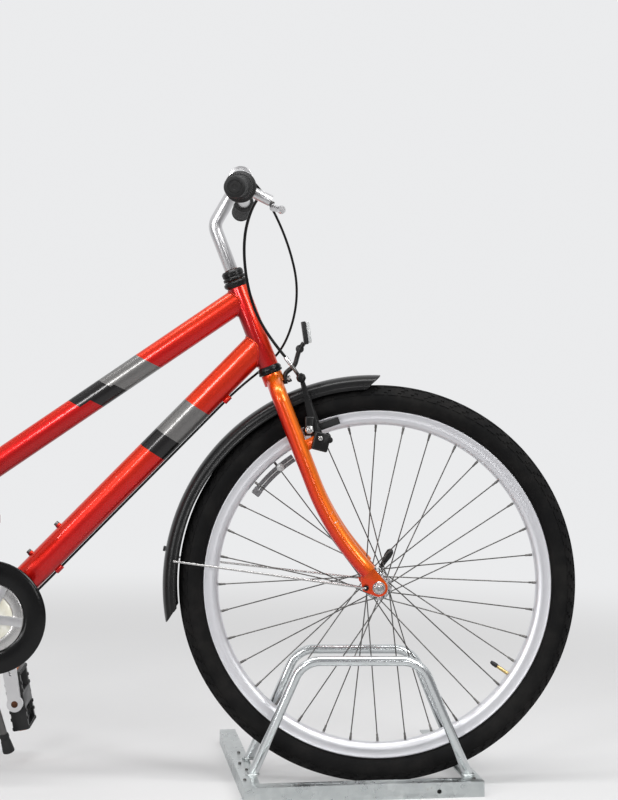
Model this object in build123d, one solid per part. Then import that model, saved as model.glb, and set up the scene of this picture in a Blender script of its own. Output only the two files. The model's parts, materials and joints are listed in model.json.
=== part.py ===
from build123d import *
import math
import os

# City bicycle with 26 inch wheels, parked with its front wheel in a steel wheel rack.
# Frame: +X is forward, +Y is the rider's left, +Z is up, the floor is z = 0.
# The origin is below the middle of the length. All sizes are in millimetres.

# Wheels
RIM_R = 286.0
RIM_DEPTH = 23.0
RIM_HALF_W = 13.5
TYRE_H = 43.0
TYRE_HALF_W = 25.0
TYRE_R = RIM_R + TYRE_H
RIM_INNER_R = RIM_R - RIM_DEPTH
SPOKES = 36
SPOKE_R = 1.0
FIRST_SPOKE_DEG = 0.3
VALVE_DEG = -34.6
VALVE_R = 3.0
VALVE_LEN = 34.0

# Mudguards, set a little behind the hub
GUARD_GAP = 20.0
GUARD_R = TYRE_R + GUARD_GAP
GUARD_BACK = 6.6
GUARD_DROP = 3.3
GUARD_HALF_W = 29.0
GUARD_DEPTH = 23.0
GUARD_T = 2.2

# Steering geometry
HEAD_ANGLE = 68.9
RAKE = 38.3
HEAD_R = 17.0
HEAD_LEN = 141.0
STEERER_R = 12.7
CROWN_GAP = 59.0
LOWER_CUP_H = 13.0
STACK_H = 30.0
BLADE_R = 13.5
CROWN_RACE = TYRE_R + CROWN_GAP
HEAD_LOW = CROWN_RACE + LOWER_CUP_H
HEAD_TOP = HEAD_LOW + HEAD_LEN
STACK_TOP = HEAD_TOP + STACK_H

# Drive
BB_DROP = 49.0
TOE_ROOM = 308.0
STAY_ROOM = 113.0
BB_Z = TYRE_R - BB_DROP
BB_BACK = TYRE_R + TOE_ROOM
WHEELBASE = BB_BACK + TYRE_R + STAY_ROOM
CRANK_LEN = 170.0
CRANK_LEAN = 8.3
CHAIN_Y = -47.0
CHAINRING_TEETH = 42
SPROCKET_TEETH = 18
CHAIN_PITCH = 12.7

# Frame tubes
TOP_TUBE_R = 21.0
DOWN_TUBE_R = 24.0
TUBE_TUCK = 0.6
SEAT_TUBE_R = 16.0
SEAT_ANGLE = 72.0
SEAT_TUBE_LEN = 441.0
POST_OUT = 189.0
BB_SHELL_R = 20.5
STAY_R = 8.0

# Positions that follow from the sizes above
FRONT_X = (WHEELBASE + GUARD_R + GUARD_BACK - TYRE_R) / 2
REAR_X = FRONT_X - WHEELBASE
BB_X = FRONT_X - BB_BACK
FRONT_HUB = Vector(FRONT_X, 0, TYRE_R)
REAR_HUB = Vector(REAR_X, 0, TYRE_R)
BB = Vector(BB_X, 0, BB_Z)

HEAD = math.radians(HEAD_ANGLE)
AXIS_UP = Vector(-math.cos(HEAD), 0, math.sin(HEAD))
AXIS_FWD = Vector(math.sin(HEAD), 0, math.cos(HEAD))
STEER = Plane(origin=FRONT_HUB - AXIS_FWD * RAKE, x_dir=AXIS_FWD, z_dir=AXIS_UP)
SEAT = math.radians(SEAT_ANGLE)
SEAT_UP = Vector(-math.cos(SEAT), 0, math.sin(SEAT))

parts = {}


def at(x, y, z):
    """A point given by its distance from the front hub along X."""
    return Vector(FRONT_X + x, y, z)


def steer(p, y, up):
    """A point ahead of the steering axis by p and up along it."""
    return STEER.from_local_coords(Vector(p, y, up))


def polar(hub, radius, degrees, y):
    """A point at this angle round a hub, measured up from straight ahead."""
    a = math.radians(degrees)
    return Vector(hub.X + radius * math.cos(a), y, hub.Z + radius * math.sin(a))


def rod(start, end, radius):
    """A round bar between two points."""
    along = end - start
    return Solid.make_cylinder(radius, along.length, Plane(origin=start, z_dir=along))


def oval_tube(start, end, tall, wide_start, wide_end):
    """A tube of oval section that stands upright, its width set at each end."""
    along = end - start
    across = Vector(0, 1, 0)
    first = Plane(origin=start, x_dir=across, z_dir=along) * Ellipse(wide_start, tall)
    last = Plane(origin=end, x_dir=across, z_dir=along) * Ellipse(wide_end, tall)
    return loft([first, last])


def pipe(points, radii, radius):
    """A round bar along straight runs joined by arcs."""
    path = FilletPolyline(*points, radius=radii)
    section = Plane(origin=path @ 0, z_dir=path % 0) * Circle(radius)
    return sweep(section, path=path).solid()


def lathe(profile, center, arc=360.0, end=0.0):
    """A profile of (radius, y) turned about the Y axis of a hub."""
    face = make_face(Polyline(*[(r, y) for r, y in profile], close=True))
    body = revolve(face, Axis.Y, arc)
    return Pos(center.X, center.Y, center.Z) * Rot(0, -end, 0) * body


def spin(profile, start, along):
    """A profile of (radius, distance) turned about any axis."""
    face = make_face(Polyline(*[(r, d) for r, d in profile], close=True))
    body = revolve(face, Axis.Y, 360)
    plane = Plane(origin=start, z_dir=along)
    return plane.location * Rot(90, 0, 0) * body


def plate(circles, y0, y1):
    """A flat plate in the XZ plane, the hull of circles (x, z, radius)."""
    rims = []
    for x, z, radius in circles:
        rims += (Pos(x, z) * Circle(radius)).edges()
    face = Plane.XZ * make_hull(rims)
    solid = extrude(face, amount=y1 - y0, dir=(0, 1, 0))
    return Pos(0, y0, 0) * solid


def flip(shape):
    """The same shape on the other side of the bicycle."""
    return mirror(shape, about=Plane.XZ)


def toothed(teeth, root, tip, bore, y0, y1, center):
    """A flat sprocket with plain tapered teeth."""
    points = []
    for k in range(teeth):
        for step, radius in ((-0.34, root), (-0.14, tip), (0.14, tip), (0.34, root)):
            a = 2 * math.pi * (k + step) / teeth
            points.append((radius * math.cos(a), radius * math.sin(a)))
    face = make_face(Polyline(*points, close=True)) - Circle(bore)
    solid = extrude(Plane.XZ * face, amount=y1 - y0, dir=(0, 1, 0))
    return Pos(center.X, y0, center.Z) * solid


# Wheels: tyre, rim, crossed spokes, hub and the arc reflector between the spokes
TYRE_HALF = [
    (RIM_R, 11.5),
    (RIM_R + 6.0, 19.5),
    (RIM_R + 16.0, 24.2),
    (RIM_R + 25.0, TYRE_HALF_W),
    (TYRE_R - 9.5, 20.5),
    (TYRE_R - 3.0, 11.0),
    (TYRE_R, 0.0),
]
RIM_HALF = [(RIM_R, RIM_HALF_W), (RIM_R - 15.0, 12.5), (RIM_INNER_R, 7.0)]


def ring_profile(half):
    """Mirror a half profile that runs from the rim seat outwards."""
    return half + [(r, -y) for r, y in reversed(half) if abs(y) > 1e-6]


def spoke_set(center, flange_y, pitch_r):
    """Thirty-six spokes, each crossing three others."""
    spokes = []
    per_side = SPOKES // 2
    step = 360.0 / per_side
    for side in (-1, 1):
        for k in range(per_side):
            outer = k % 2
            hub_deg = FIRST_SPOKE_DEG + k * step + (0.0 if side < 0 else step / 2)
            rim_deg = hub_deg + (3 * step if outer == 0 else -3 * step)
            hub_y = side * (flange_y + (4.8 if outer else -2.9))
            h = math.radians(hub_deg)
            r = math.radians(rim_deg)
            start = center + Vector(pitch_r * math.cos(h), hub_y, pitch_r * math.sin(h))
            rim_r = RIM_INNER_R - 0.4
            end = center + Vector(rim_r * math.cos(r), side * 3.2, rim_r * math.sin(r))
            spokes.append(rod(start, end, SPOKE_R))
    return spokes


for name, hub in (("front", FRONT_HUB), ("rear", REAR_HUB)):
    parts[name + "_tyre"] = lathe(ring_profile(TYRE_HALF), hub)
    rim = lathe(ring_profile(RIM_HALF), hub)
    valve_root = polar(hub, RIM_INNER_R + 1.0, VALVE_DEG, 0)
    valve_tip = polar(hub, RIM_INNER_R + 1.0 - VALVE_LEN, VALVE_DEG, 0)
    parts[name + "_rim"] = rim + rod(valve_root, valve_tip, VALVE_R)
    band_in = RIM_INNER_R - 15.0
    band_out = RIM_INNER_R - 2.5
    arc_band = [(band_in, -2.1), (band_out, -2.1), (band_out, 2.1), (band_in, 2.1)]
    parts[name + "_spoke_reflector"] = lathe(arc_band, hub, 22.0, 144.0)

FLANGE_Y = 35.0
FLANGE_R = 22.5
FRONT_AXLE_R = 5.0
parts["front_spokes"] = spoke_set(FRONT_HUB, FLANGE_Y, 19.0)
front_hub_half = [
    (5.1, 46.0),
    (11.0, 46.0),
    (12.5, FLANGE_Y + 1.6),
    (FLANGE_R, FLANGE_Y + 1.6),
    (FLANGE_R, FLANGE_Y - 1.6),
    (15.5, FLANGE_Y - 1.6),
    (13.5, 22.0),
]
parts["front_hub"] = lathe(ring_profile(front_hub_half), FRONT_HUB)

REAR_FLANGE_Y = 27.0
REAR_FLANGE_R = 41.0
parts["rear_spokes"] = spoke_set(REAR_HUB, REAR_FLANGE_Y, 37.0)
rear_hub_half = [
    (5.1, 41.0),
    (22.0, 41.0),
    (31.0, REAR_FLANGE_Y + 1.6),
    (REAR_FLANGE_R, REAR_FLANGE_Y + 1.6),
    (REAR_FLANGE_R, REAR_FLANGE_Y - 1.6),
    (33.0, REAR_FLANGE_Y - 1.6),
]
parts["rear_hub"] = lathe(ring_profile(rear_hub_half), REAR_HUB)

# Fork: steerer and crown boss, two curved blades with flat dropouts
parts["fork_crown"] = rod(steer(0, 0, CROWN_RACE), steer(0, 0, STACK_TOP - 1), STEERER_R)
parts["fork_crown"] += rod(steer(0, 0, CROWN_RACE - 18), steer(0, 0, CROWN_RACE), 17.5)

DROPOUT_IN = 50.0
DROPOUT_OUT = 56.0
EYELET = (FRONT_X - 21.0, TYRE_R)
blade_path = [
    steer(0, 2.0, CROWN_RACE - 9),
    steer(0, 47.0, CROWN_RACE - 36),
    steer(0, 51.0, 118),
    steer(RAKE - 6, 57.0, 30),
]
blade = pipe(blade_path, [26, 420], BLADE_R)
blade -= rod(steer(0, 0, CROWN_RACE - 18), steer(0, 0, CROWN_RACE + 30), 17.5)
blade -= Pos(FRONT_X, -40, 600) * Box(900, 80, 600)
foot = steer(RAKE - 8, 0, 34)
tab = plate(
    [(FRONT_X, TYRE_R, 14.5), (EYELET[0], EYELET[1], 6.5), (foot.X, foot.Z, 11.0)],
    DROPOUT_IN,
    DROPOUT_OUT,
)
tab -= rod(FRONT_HUB, FRONT_HUB + Vector(0, 90, 0), FRONT_AXLE_R)
BOSS = polar(FRONT_HUB, RIM_R - 25.458, 112.332, 40)
boss_root = steer(2.0, 0, RIM_R - 28)
brake_mount = plate([(BOSS.X, BOSS.Z, 8.5), (boss_root.X, boss_root.Z, 9.0)], 44.0, 51.0)
blade = blade + tab + brake_mount
parts["fork_blades"] = [blade, flip(blade)]

front_axle = rod(FRONT_HUB - Vector(0, 66, 0), FRONT_HUB + Vector(0, 66, 0), FRONT_AXLE_R)
for side in (-1, 1):
    nut_in = FRONT_HUB + Vector(0, side * DROPOUT_OUT, 0)
    front_axle += rod(nut_in, nut_in + Vector(0, side * 8, 0), 9.5)
    lock = FRONT_HUB + Vector(0, side * 46.6, 0)
    front_axle += rod(lock, FRONT_HUB + Vector(0, side * DROPOUT_IN, 0), 8.5)
lever_root = FRONT_HUB + Vector(0, 68, 0)
front_axle += pipe(
    [lever_root - Vector(0, 6, 0), lever_root, lever_root + Vector(28, 2, 46)],
    [3.0],
    4.5,
)
parts["front_axle"] = front_axle

# Headset: cups on the frame, locknut on the steerer
CUP_BORE = STEERER_R + 0.4
lower_cup = spin(
    [(CUP_BORE, 0.3), (20.0, 0.3), (20.0, 7.0), (17.0, 13.0), (CUP_BORE, 13.0)],
    steer(0, 0, CROWN_RACE),
    AXIS_UP,
)
upper_cup = spin(
    [(CUP_BORE, 0.0), (17.0, 0.0), (20.5, 4.0), (20.5, 12.0), (CUP_BORE, 12.0)],
    steer(0, 0, HEAD_TOP),
    AXIS_UP,
)
parts["headset_cups"] = [lower_cup, upper_cup]
parts["headset_locknut"] = spin(
    [(STEERER_R, 12.4), (18.0, 12.4), (18.0, 19.0), (15.5, 19.5), (15.5, 30.0), (STEERER_R, 30.0)],
    steer(0, 0, HEAD_TOP),
    AXIS_UP,
)

# Stem, handlebar, grips
BAR_R = 11.1
CLAMP = steer(69.01, 0, STACK_TOP + 135.371)
BEND = steer(0, 0, STACK_TOP + 80)


def from_clamp(x, y, z):
    """A point measured from the middle of the stem clamp."""
    return CLAMP + Vector(x, y, z)


BAR_POINTS = [
    from_clamp(-4, -290, -36),
    from_clamp(3, -165, -26),
    from_clamp(0, -70, 0),
    from_clamp(0, 70, 0),
    from_clamp(3, 165, -26),
    from_clamp(-4, 290, -36),
]
bar = pipe(BAR_POINTS, [80, 80, 80, 80], BAR_R)
bar += rod(CLAMP - Vector(0, 24, 0), CLAMP + Vector(0, 24, 0), 12.7)
parts["handlebar"] = bar
stem = pipe([steer(0, 0, STACK_TOP + 0.4), BEND, CLAMP], [24.0], BAR_R)
stem += rod(CLAMP - Vector(0, 20, 0), CLAMP + Vector(0, 20, 0), 20.0)
stem -= rod(CLAMP - Vector(0, 30, 0), CLAMP + Vector(0, 30, 0), 12.7)
parts["stem"] = stem

GRIP_RIGHT = BAR_POINTS[0]
GRIP_LEFT = BAR_POINTS[5]
right_in = BAR_POINTS[1] - BAR_POINTS[0]
left_in = BAR_POINTS[4] - BAR_POINTS[5]


def grip(end, inward, length):
    """A rubber grip with a closed end and a low collar."""
    body = spin(
        [
            (0.0, -5.0),
            (13.0, -5.0),
            (17.0, -1.0),
            (17.0, 4.0),
            (14.5, 8.0),
            (15.5, length / 2),
            (14.5, length - 6),
            (17.5, length - 4),
            (17.5, length),
            (0.0, length),
        ],
        end,
        inward,
    )
    return body - bar


parts["grips"] = [grip(GRIP_RIGHT, right_in, 78.0), grip(GRIP_LEFT, left_in, 118.0)]
shifter = spin(
    [
        (0.0, 79.0),
        (17.5, 79.0),
        (20.5, 84.0),
        (20.5, 106.0),
        (25.0, 110.0),
        (25.0, 118.0),
        (19.0, 122.0),
        (0.0, 122.0),
    ],
    GRIP_RIGHT,
    right_in,
)
parts["twist_shifter"] = shifter - bar

# Brake lever on the right: clamp and body, blade ahead of the grip
lever_body = rod(from_clamp(3, -158, -24), from_clamp(2.5, -140, -20), 16.0)
lever_body += rod(from_clamp(8, -149, -26), from_clamp(50, -149, -47), 9.0)
lever_body -= bar
parts["brake_bracket"] = lever_body
blade_bar = pipe(
    [from_clamp(52, -149, -57.5), from_clamp(64, -168, -62), from_clamp(66, -256, -68)],
    [12.0],
    5.0,
)
blade_bar += rod(from_clamp(50, -149, -59), from_clamp(56, -149, -55), 6.5)
parts["brake_lever"] = blade_bar - lever_body

# Front rim brake: arms on the fork, pads at the rim
ARM_MID = polar(FRONT_HUB, RIM_R + 8.498, 109.85, 37)
ARM_TOP = polar(FRONT_HUB, TYRE_R + 32.906, 110.037, 37)


def brake_arm():
    """One brake arm with its pivot boss."""
    arm = plate(
        [(BOSS.X, BOSS.Z, 10.0), (ARM_MID.X, ARM_MID.Z, 8.5), (ARM_TOP.X, ARM_TOP.Z, 6.0)],
        34.5,
        43.5,
    )
    arm += rod(Vector(BOSS.X, 43.5, BOSS.Z), Vector(BOSS.X, 44.0, BOSS.Z), 7.0)
    return arm


def brake_pad():
    """One brake shoe with its post."""
    mid = polar(FRONT_HUB, RIM_R - 9.0, 109.5, 21.0)
    turn = Location(mid, (0, -19.5, 0))
    shoe = turn * Box(62, 9, 11)
    shoe += turn * Pos(0, 9, 0) * Rot(90, 0, 0) * Cylinder(3.5, 10)
    return shoe


arm_left = brake_arm() - blade
pad_left = brake_pad() - arm_left


def from_arm(x, y, z):
    """A point measured along X and up from the top of the brake arms."""
    return Vector(ARM_TOP.X + x, y, ARM_TOP.Z + z)


noodle = pipe([from_arm(-26, -30, 33), from_arm(-7, -30, 7), from_arm(-3, -8, -1)], [14.0], 3.0)
arm_right = flip(arm_left)
parts["front_brake_arms"] = [arm_left, arm_right, noodle - arm_right]
parts["front_brake_pads"] = [pad_left, flip(pad_left)]

brake_cable = [
    from_clamp(33, -140.5, -38.5),
    from_clamp(20, -112, -50),
    from_clamp(4, -66, -107),
    from_arm(-90, -38, 143),
    from_arm(-63, -33, 77),
    from_arm(-26, -30, 33.4),
]
parts["front_brake_cable"] = pipe(brake_cable, [20, 60, 80, 80], 2.5) - lever_body

DOWN_TOP = steer(0.514, 0, HEAD_LOW + 39.968)
CABLE_GAP = 2.4
down_dir = (BB - DOWN_TOP).normalized()
down_low = Vector(down_dir.Z, 0, -down_dir.X)
if down_low.Z > 0:
    down_low = down_low * -1


def under(distance, gap):
    """A point below the down tube, measured from its upper end."""
    return DOWN_TOP + down_dir * distance + down_low * (DOWN_TUBE_R + gap)


# Gear cable: a free loop from the shifter to the down tube, then clipped along the frame
gear_loop = [
    from_clamp(19, -163, -15),
    from_clamp(40, -132, -32),
    from_clamp(79, -82, -110),
    from_clamp(96, -60, -188),
    DOWN_TOP + Vector(31, -46, -23.8),
    DOWN_TOP + Vector(-6, -34, -50.8),
    under(66, 4.0) + Vector(0, -7, 0),
    under(96.5, CABLE_GAP),
]
parts["gear_cable_loop"] = pipe(gear_loop, [20, 70, 70, 60, 30, 20], 2.0)

# Front mudguard, its wire stays, and the reflector on its bracket
GUARD_HALF = [
    (GUARD_R - GUARD_DEPTH, GUARD_HALF_W),
    (GUARD_R - 9.0, 26.5),
    (GUARD_R - 2.5, 17.0),
    (GUARD_R, 5.0),
]
guard_profile = [(r, -y) for r, y in GUARD_HALF] + [(r, y) for r, y in reversed(GUARD_HALF)]
guard_inner = []
for index, (r, y) in enumerate(GUARD_HALF):
    step_in = GUARD_T if index else 0.0
    step_side = GUARD_T if index < 2 else 0.6 * GUARD_T
    guard_inner.append((r - step_in, y - step_side))
guard_profile += guard_inner
guard_profile += [(r, -y) for r, y in reversed(guard_inner)]
FRONT_GUARD_C = FRONT_HUB + Vector(-GUARD_BACK, 0, -GUARD_DROP)
REAR_GUARD_C = REAR_HUB + Vector(-GUARD_BACK, 0, -GUARD_DROP)
parts["front_mudguard"] = lathe(guard_profile, FRONT_GUARD_C, 102.0, 190.0)


def guard_stay(center, from_x, from_z, y0, deg):
    """A wire from a dropout eyelet to the edge of a mudguard."""
    a = math.radians(deg)
    r = GUARD_R - GUARD_DEPTH + 7.0
    end = center + Vector(r * math.cos(a), GUARD_HALF_W + 1.9, r * math.sin(a))
    start = Vector(from_x, y0, from_z)
    near = end + (center + Vector(0, end.Y, 0) - end).normalized() * 22.0
    return pipe([start - Vector(0, 2, 0), start + Vector(0, 2.0, 0), near, end], [1.9, 30.0], 1.8)


stay = guard_stay(FRONT_GUARD_C, EYELET[0], EYELET[1], DROPOUT_OUT + 2.0, 172.5)
parts["front_mudguard_stays"] = [stay, flip(stay)]

bracket = pipe(
    [
        steer(17.5, 0, CROWN_RACE - 9),
        steer(24.128, 0, CROWN_RACE - 19.169),
        steer(49.642, 0, CROWN_RACE + 5.285),
        steer(66.252, 0, CROWN_RACE + 28.888),
    ],
    [6.0, 20.0],
    4.0,
)
bracket -= parts["fork_crown"]
parts["reflector_bracket"] = bracket
parts["front_reflector"] = Location(steer(78.903, 0, CROWN_RACE + 42.228), (0, -8, 0)) * Box(13, 62, 38)
parts["front_reflector"] -= bracket

# Frame tubes, each cut to meet its neighbours
head_line = rod(steer(0, 0, HEAD_LOW - 60), steer(0, 0, HEAD_TOP + 60), HEAD_R)
parts["head_tube"] = rod(steer(0, 0, HEAD_LOW), steer(0, 0, HEAD_TOP), HEAD_R)
parts["head_tube"] -= rod(steer(0, 0, HEAD_LOW - 1), steer(0, 0, HEAD_TOP + 1), CUP_BORE)
shell_solid = rod(BB - Vector(0, 35, 0), BB + Vector(0, 35, 0), BB_SHELL_R)
parts["bottom_bracket_shell"] = shell_solid - rod(BB - Vector(0, 36, 0), BB + Vector(0, 36, 0), 9.0)
seat_tube = rod(BB, BB + SEAT_UP * SEAT_TUBE_LEN, SEAT_TUBE_R) - shell_solid
parts["seat_tube"] = seat_tube
seat_line = rod(BB, BB + SEAT_UP * (SEAT_TUBE_LEN + 80), SEAT_TUBE_R)
head_wide = HEAD_R - TUBE_TUCK
seat_wide = SEAT_TUBE_R - TUBE_TUCK
TOP_FRONT = steer(-0.223, 0, HEAD_TOP - 19.607)
TOP_BACK = BB + SEAT_UP * 209.346
top_tube = oval_tube(TOP_FRONT, TOP_BACK, TOP_TUBE_R, head_wide, seat_wide)
parts["top_tube"] = top_tube - head_line - seat_line
down_tube = oval_tube(DOWN_TOP, BB, DOWN_TUBE_R, head_wide, DOWN_TUBE_R - 2.0)
parts["down_tube"] = down_tube - head_line - shell_solid - seat_line

REAR_IN = 60.0
REAR_OUT = 66.0
CHAIN_END = Vector(REAR_X + 30, 63, TYRE_R - 4)
SEAT_END = Vector(REAR_X + 18, 63, TYRE_R + 30)
rear_tab = plate(
    [
        (REAR_X, TYRE_R, 16.0),
        (CHAIN_END.X, CHAIN_END.Z, 10.0),
        (SEAT_END.X, SEAT_END.Z, 9.0),
        (REAR_X - 22, TYRE_R + 3, 6.0),
    ],
    REAR_IN,
    REAR_OUT,
)
rear_tab -= rod(REAR_HUB, REAR_HUB + Vector(0, 90, 0), 5.0)
parts["rear_dropouts"] = [rear_tab, flip(rear_tab)]
chain_stay = rod(Vector(BB_X - 10, 26.5, BB_Z + 1), CHAIN_END, STAY_R) - shell_solid - seat_line - rear_tab
parts["chain_stays"] = [chain_stay, flip(chain_stay)]
SEAT_JOIN = BB + SEAT_UP * (SEAT_TUBE_LEN - 41.0)
seat_stay = pipe(
    [SEAT_END, polar(REAR_HUB, GUARD_R + 29.382, 43.822, 41), SEAT_JOIN + Vector(-4, 17, 0)],
    [60.0],
    STAY_R,
)
seat_stay = seat_stay - seat_line - rear_tab - Pos(BB_X, -40, 600) * Box(900, 80, 900)
parts["seat_stays"] = [seat_stay, flip(seat_stay)]

# Saddle on its post
POST_TOP = BB + SEAT_UP * (SEAT_TUBE_LEN + POST_OUT)
SADDLE_Z = POST_TOP.Z + 70.834
parts["seat_post"] = rod(BB + SEAT_UP * SEAT_TUBE_LEN, POST_TOP, 13.5)
collar_low = BB + SEAT_UP * (SEAT_TUBE_LEN - 16)
collar = rod(collar_low, BB + SEAT_UP * SEAT_TUBE_LEN, 19.5)
collar += Location(BB + SEAT_UP * (SEAT_TUBE_LEN - 8) + Vector(-21, 0, -7), (0, 0, 0)) * Box(10, 22, 12)
parts["seat_clamp"] = collar - seat_tube
head_block = Location(POST_TOP, (0, 0, 0)) * Box(46, 34, 22)
parts["seat_post"] -= head_block
saddle_c = Vector(POST_TOP.X, 0, SADDLE_Z)
half_plan = [(132, 12), (118, 21), (70, 26), (25, 38), (-20, 66), (-62, 88), (-100, 86), (-124, 58)]
plan = half_plan + [(x, -y) for x, y in reversed(half_plan)]
layers = []
for drop, inset in ((52.0, 6.0), (36.0, 0.0), (14.0, 1.5), (4.0, 8.0), (0.0, 19.0)):
    shrunk = [(x * (1 - inset / 132), y * (1 - inset / 88)) for x, y in plan]
    layers.append(Pos(saddle_c.X, 0, SADDLE_Z - drop) * make_face(Spline(*shrunk, periodic=True)))
saddle = loft(layers, ruled=True)
parts["saddle"] = saddle
rails = []
for side in (-1, 1):
    y = side * 21.0
    rails.append(
        pipe(
            [
                Vector(saddle_c.X + 100, side * 14, SADDLE_Z - 51.5),
                Vector(saddle_c.X + 60, y, POST_TOP.Z + 4),
                Vector(saddle_c.X - 55, y, POST_TOP.Z + 4),
                Vector(saddle_c.X - 90, side * 40, SADDLE_Z - 51.5),
            ],
            [20.0, 20.0],
            3.5,
        )
    )
rails = [rail - saddle for rail in rails]
parts["saddle_rails"] = rails
for rail in rails:
    head_block -= rail
parts["seat_post"] += head_block

# Rear mudguard with stays and reflector, rear axle with nuts
parts["rear_mudguard"] = lathe(guard_profile, REAR_GUARD_C, 198.0, 203.0)
rear_stay = guard_stay(REAR_GUARD_C, REAR_X - 22, TYRE_R + 3, REAR_OUT + 2.0, 158.0)
parts["rear_mudguard_stays"] = [rear_stay, flip(rear_stay)]
REAR_AXLE_HALF = 84.0
axle_reach = Vector(0, REAR_AXLE_HALF, 0)
rear_axle = rod(REAR_HUB - axle_reach, REAR_HUB + axle_reach, 5.0)
for side in (-1, 1):
    nut_in = REAR_HUB + Vector(0, side * REAR_OUT, 0)
    rear_axle += rod(nut_in, nut_in + Vector(0, side * 9, 0), 9.5)
    lock = REAR_HUB + Vector(0, side * (41.4 if side > 0 else 50.0), 0)
    rear_axle += rod(lock, REAR_HUB + Vector(0, side * REAR_IN, 0), 9.0)
parts["rear_axle"] = rear_axle
a = math.radians(158.0)
reflector_at = REAR_GUARD_C + Vector((GUARD_R + 5.2) * math.cos(a), 0, (GUARD_R + 5.2) * math.sin(a))
parts["rear_reflector"] = Location(reflector_at, (0, 22, 0)) * Box(11, 40, 60)
parts["rear_reflector"] -= parts["rear_mudguard"]

# Drive: chainring and guard, cranks, sprocket, chain
ring_pitch = CHAIN_PITCH / (2 * math.sin(math.pi / CHAINRING_TEETH))
cog_pitch = CHAIN_PITCH / (2 * math.sin(math.pi / SPROCKET_TEETH))
parts["chainring"] = toothed(
    CHAINRING_TEETH, ring_pitch - 4, ring_pitch + 3, 43.0, CHAIN_Y - 1, CHAIN_Y + 1, BB
)
cog = toothed(SPROCKET_TEETH, cog_pitch - 4, cog_pitch + 3, 6.0, CHAIN_Y - 1, CHAIN_Y + 1, REAR_HUB)
cog += lathe([(6.0, -46.0), (20.0, -46.0), (20.0, -41.0), (6.0, -41.0)], REAR_HUB)
parts["rear_sprocket"] = cog
guard_ring = lathe(
    [(58.0, -55.0), (88.0, -55.0), (94.0, -53.5), (94.0, -51.5), (58.0, -51.5)],
    BB,
)
for k in range(5):
    a = 2 * math.pi * (k + 0.5) / 5
    boss = BB + Vector(66 * math.cos(a), -51.5, 66 * math.sin(a))
    guard_ring += rod(boss, boss + Vector(0, 3.5, 0), 5.0)
parts["chain_guard"] = guard_ring

lean = math.radians(CRANK_LEAN)
LEFT_DIR = Vector(math.sin(lean), 0, -math.cos(lean))
RIGHT_DIR = LEFT_DIR * -1
PEDAL_L = BB + LEFT_DIR * CRANK_LEN + Vector(0, 82, 0)
PEDAL_R = BB + RIGHT_DIR * CRANK_LEN + Vector(0, -82, 0)


def crank(direction, side):
    """A crank arm, flared outwards to the pedal."""
    root = BB + Vector(0, side * 67, 0)
    tip = BB + direction * CRANK_LEN + Vector(0, side * 82, 0)
    along = (tip - root).normalized()
    cross = Vector(0, 1, 0).cross(along)
    low = Plane(origin=root, x_dir=cross, z_dir=along) * Rectangle(27, 14)
    high = Plane(origin=tip, x_dir=cross, z_dir=along) * Rectangle(21, 11)
    arm = loft([low, high])
    arm += rod(BB + Vector(0, side * 57, 0), BB + Vector(0, side * 75, 0), 18.0)
    arm += rod(tip - Vector(0, side * 6, 0), tip + Vector(0, side * 6, 0), 13.5)
    arm += rod(tip, tip + Vector(0, side * 102, 0), 6.0)
    arm += rod(tip + Vector(0, side * 6, 0), tip + Vector(0, side * 13, 0), 9.0)
    return arm


left_crank = crank(LEFT_DIR, 1)
left_crank += rod(BB - Vector(0, 58, 0), BB + Vector(0, 58, 0), 8.8)
parts["crank_left"] = left_crank
right_crank = crank(RIGHT_DIR, -1)
for k in range(5):
    spoke = Pos(BB.X, -53.0, BB.Z) * Rot(0, 72.0 * k + 8, 0) * Pos(30, 0, 0) * Box(52, 8, 15)
    right_crank += spoke
right_crank += rod(BB + Vector(0, -48, 0), BB + Vector(0, -58, 0), 18.0)
right_crank &= Pos(BB.X, -150, BB.Z) * Box(800, 204, 800)
right_crank -= rod(BB - Vector(0, 58, 0), BB, 8.8)
right_crank -= guard_ring
right_crank -= rod(BB - Vector(0, 56, 0), BB - Vector(0, 40, 0), 58.0) - rod(
    BB - Vector(0, 57, 0), BB - Vector(0, 39, 0), 57.5
)
parts["crank_right"] = right_crank


def pedal(center, side, tilt):
    """A platform pedal: barrel, end bars and side bars."""
    y_mid = 143.0 * side
    spot = Pos(center.X, y_mid, center.Z) * Rot(0, tilt, 0)
    body = spot * Box(100, 90, 27)
    for end in (-1, 1):
        body -= spot * Pos(end * 29, 0, 0) * Box(30, 66, 40)
    body += spot * Rot(90, 0, 0) * Cylinder(14.0, 90)
    body -= Pos(center.X, y_mid, center.Z) * Rot(90, 0, 0) * Cylinder(6.2, 200)
    return body


parts["pedal_left"] = pedal(PEDAL_L, 1, 80.0)
parts["pedal_right"] = pedal(PEDAL_R, -1, 0.0)


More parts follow.
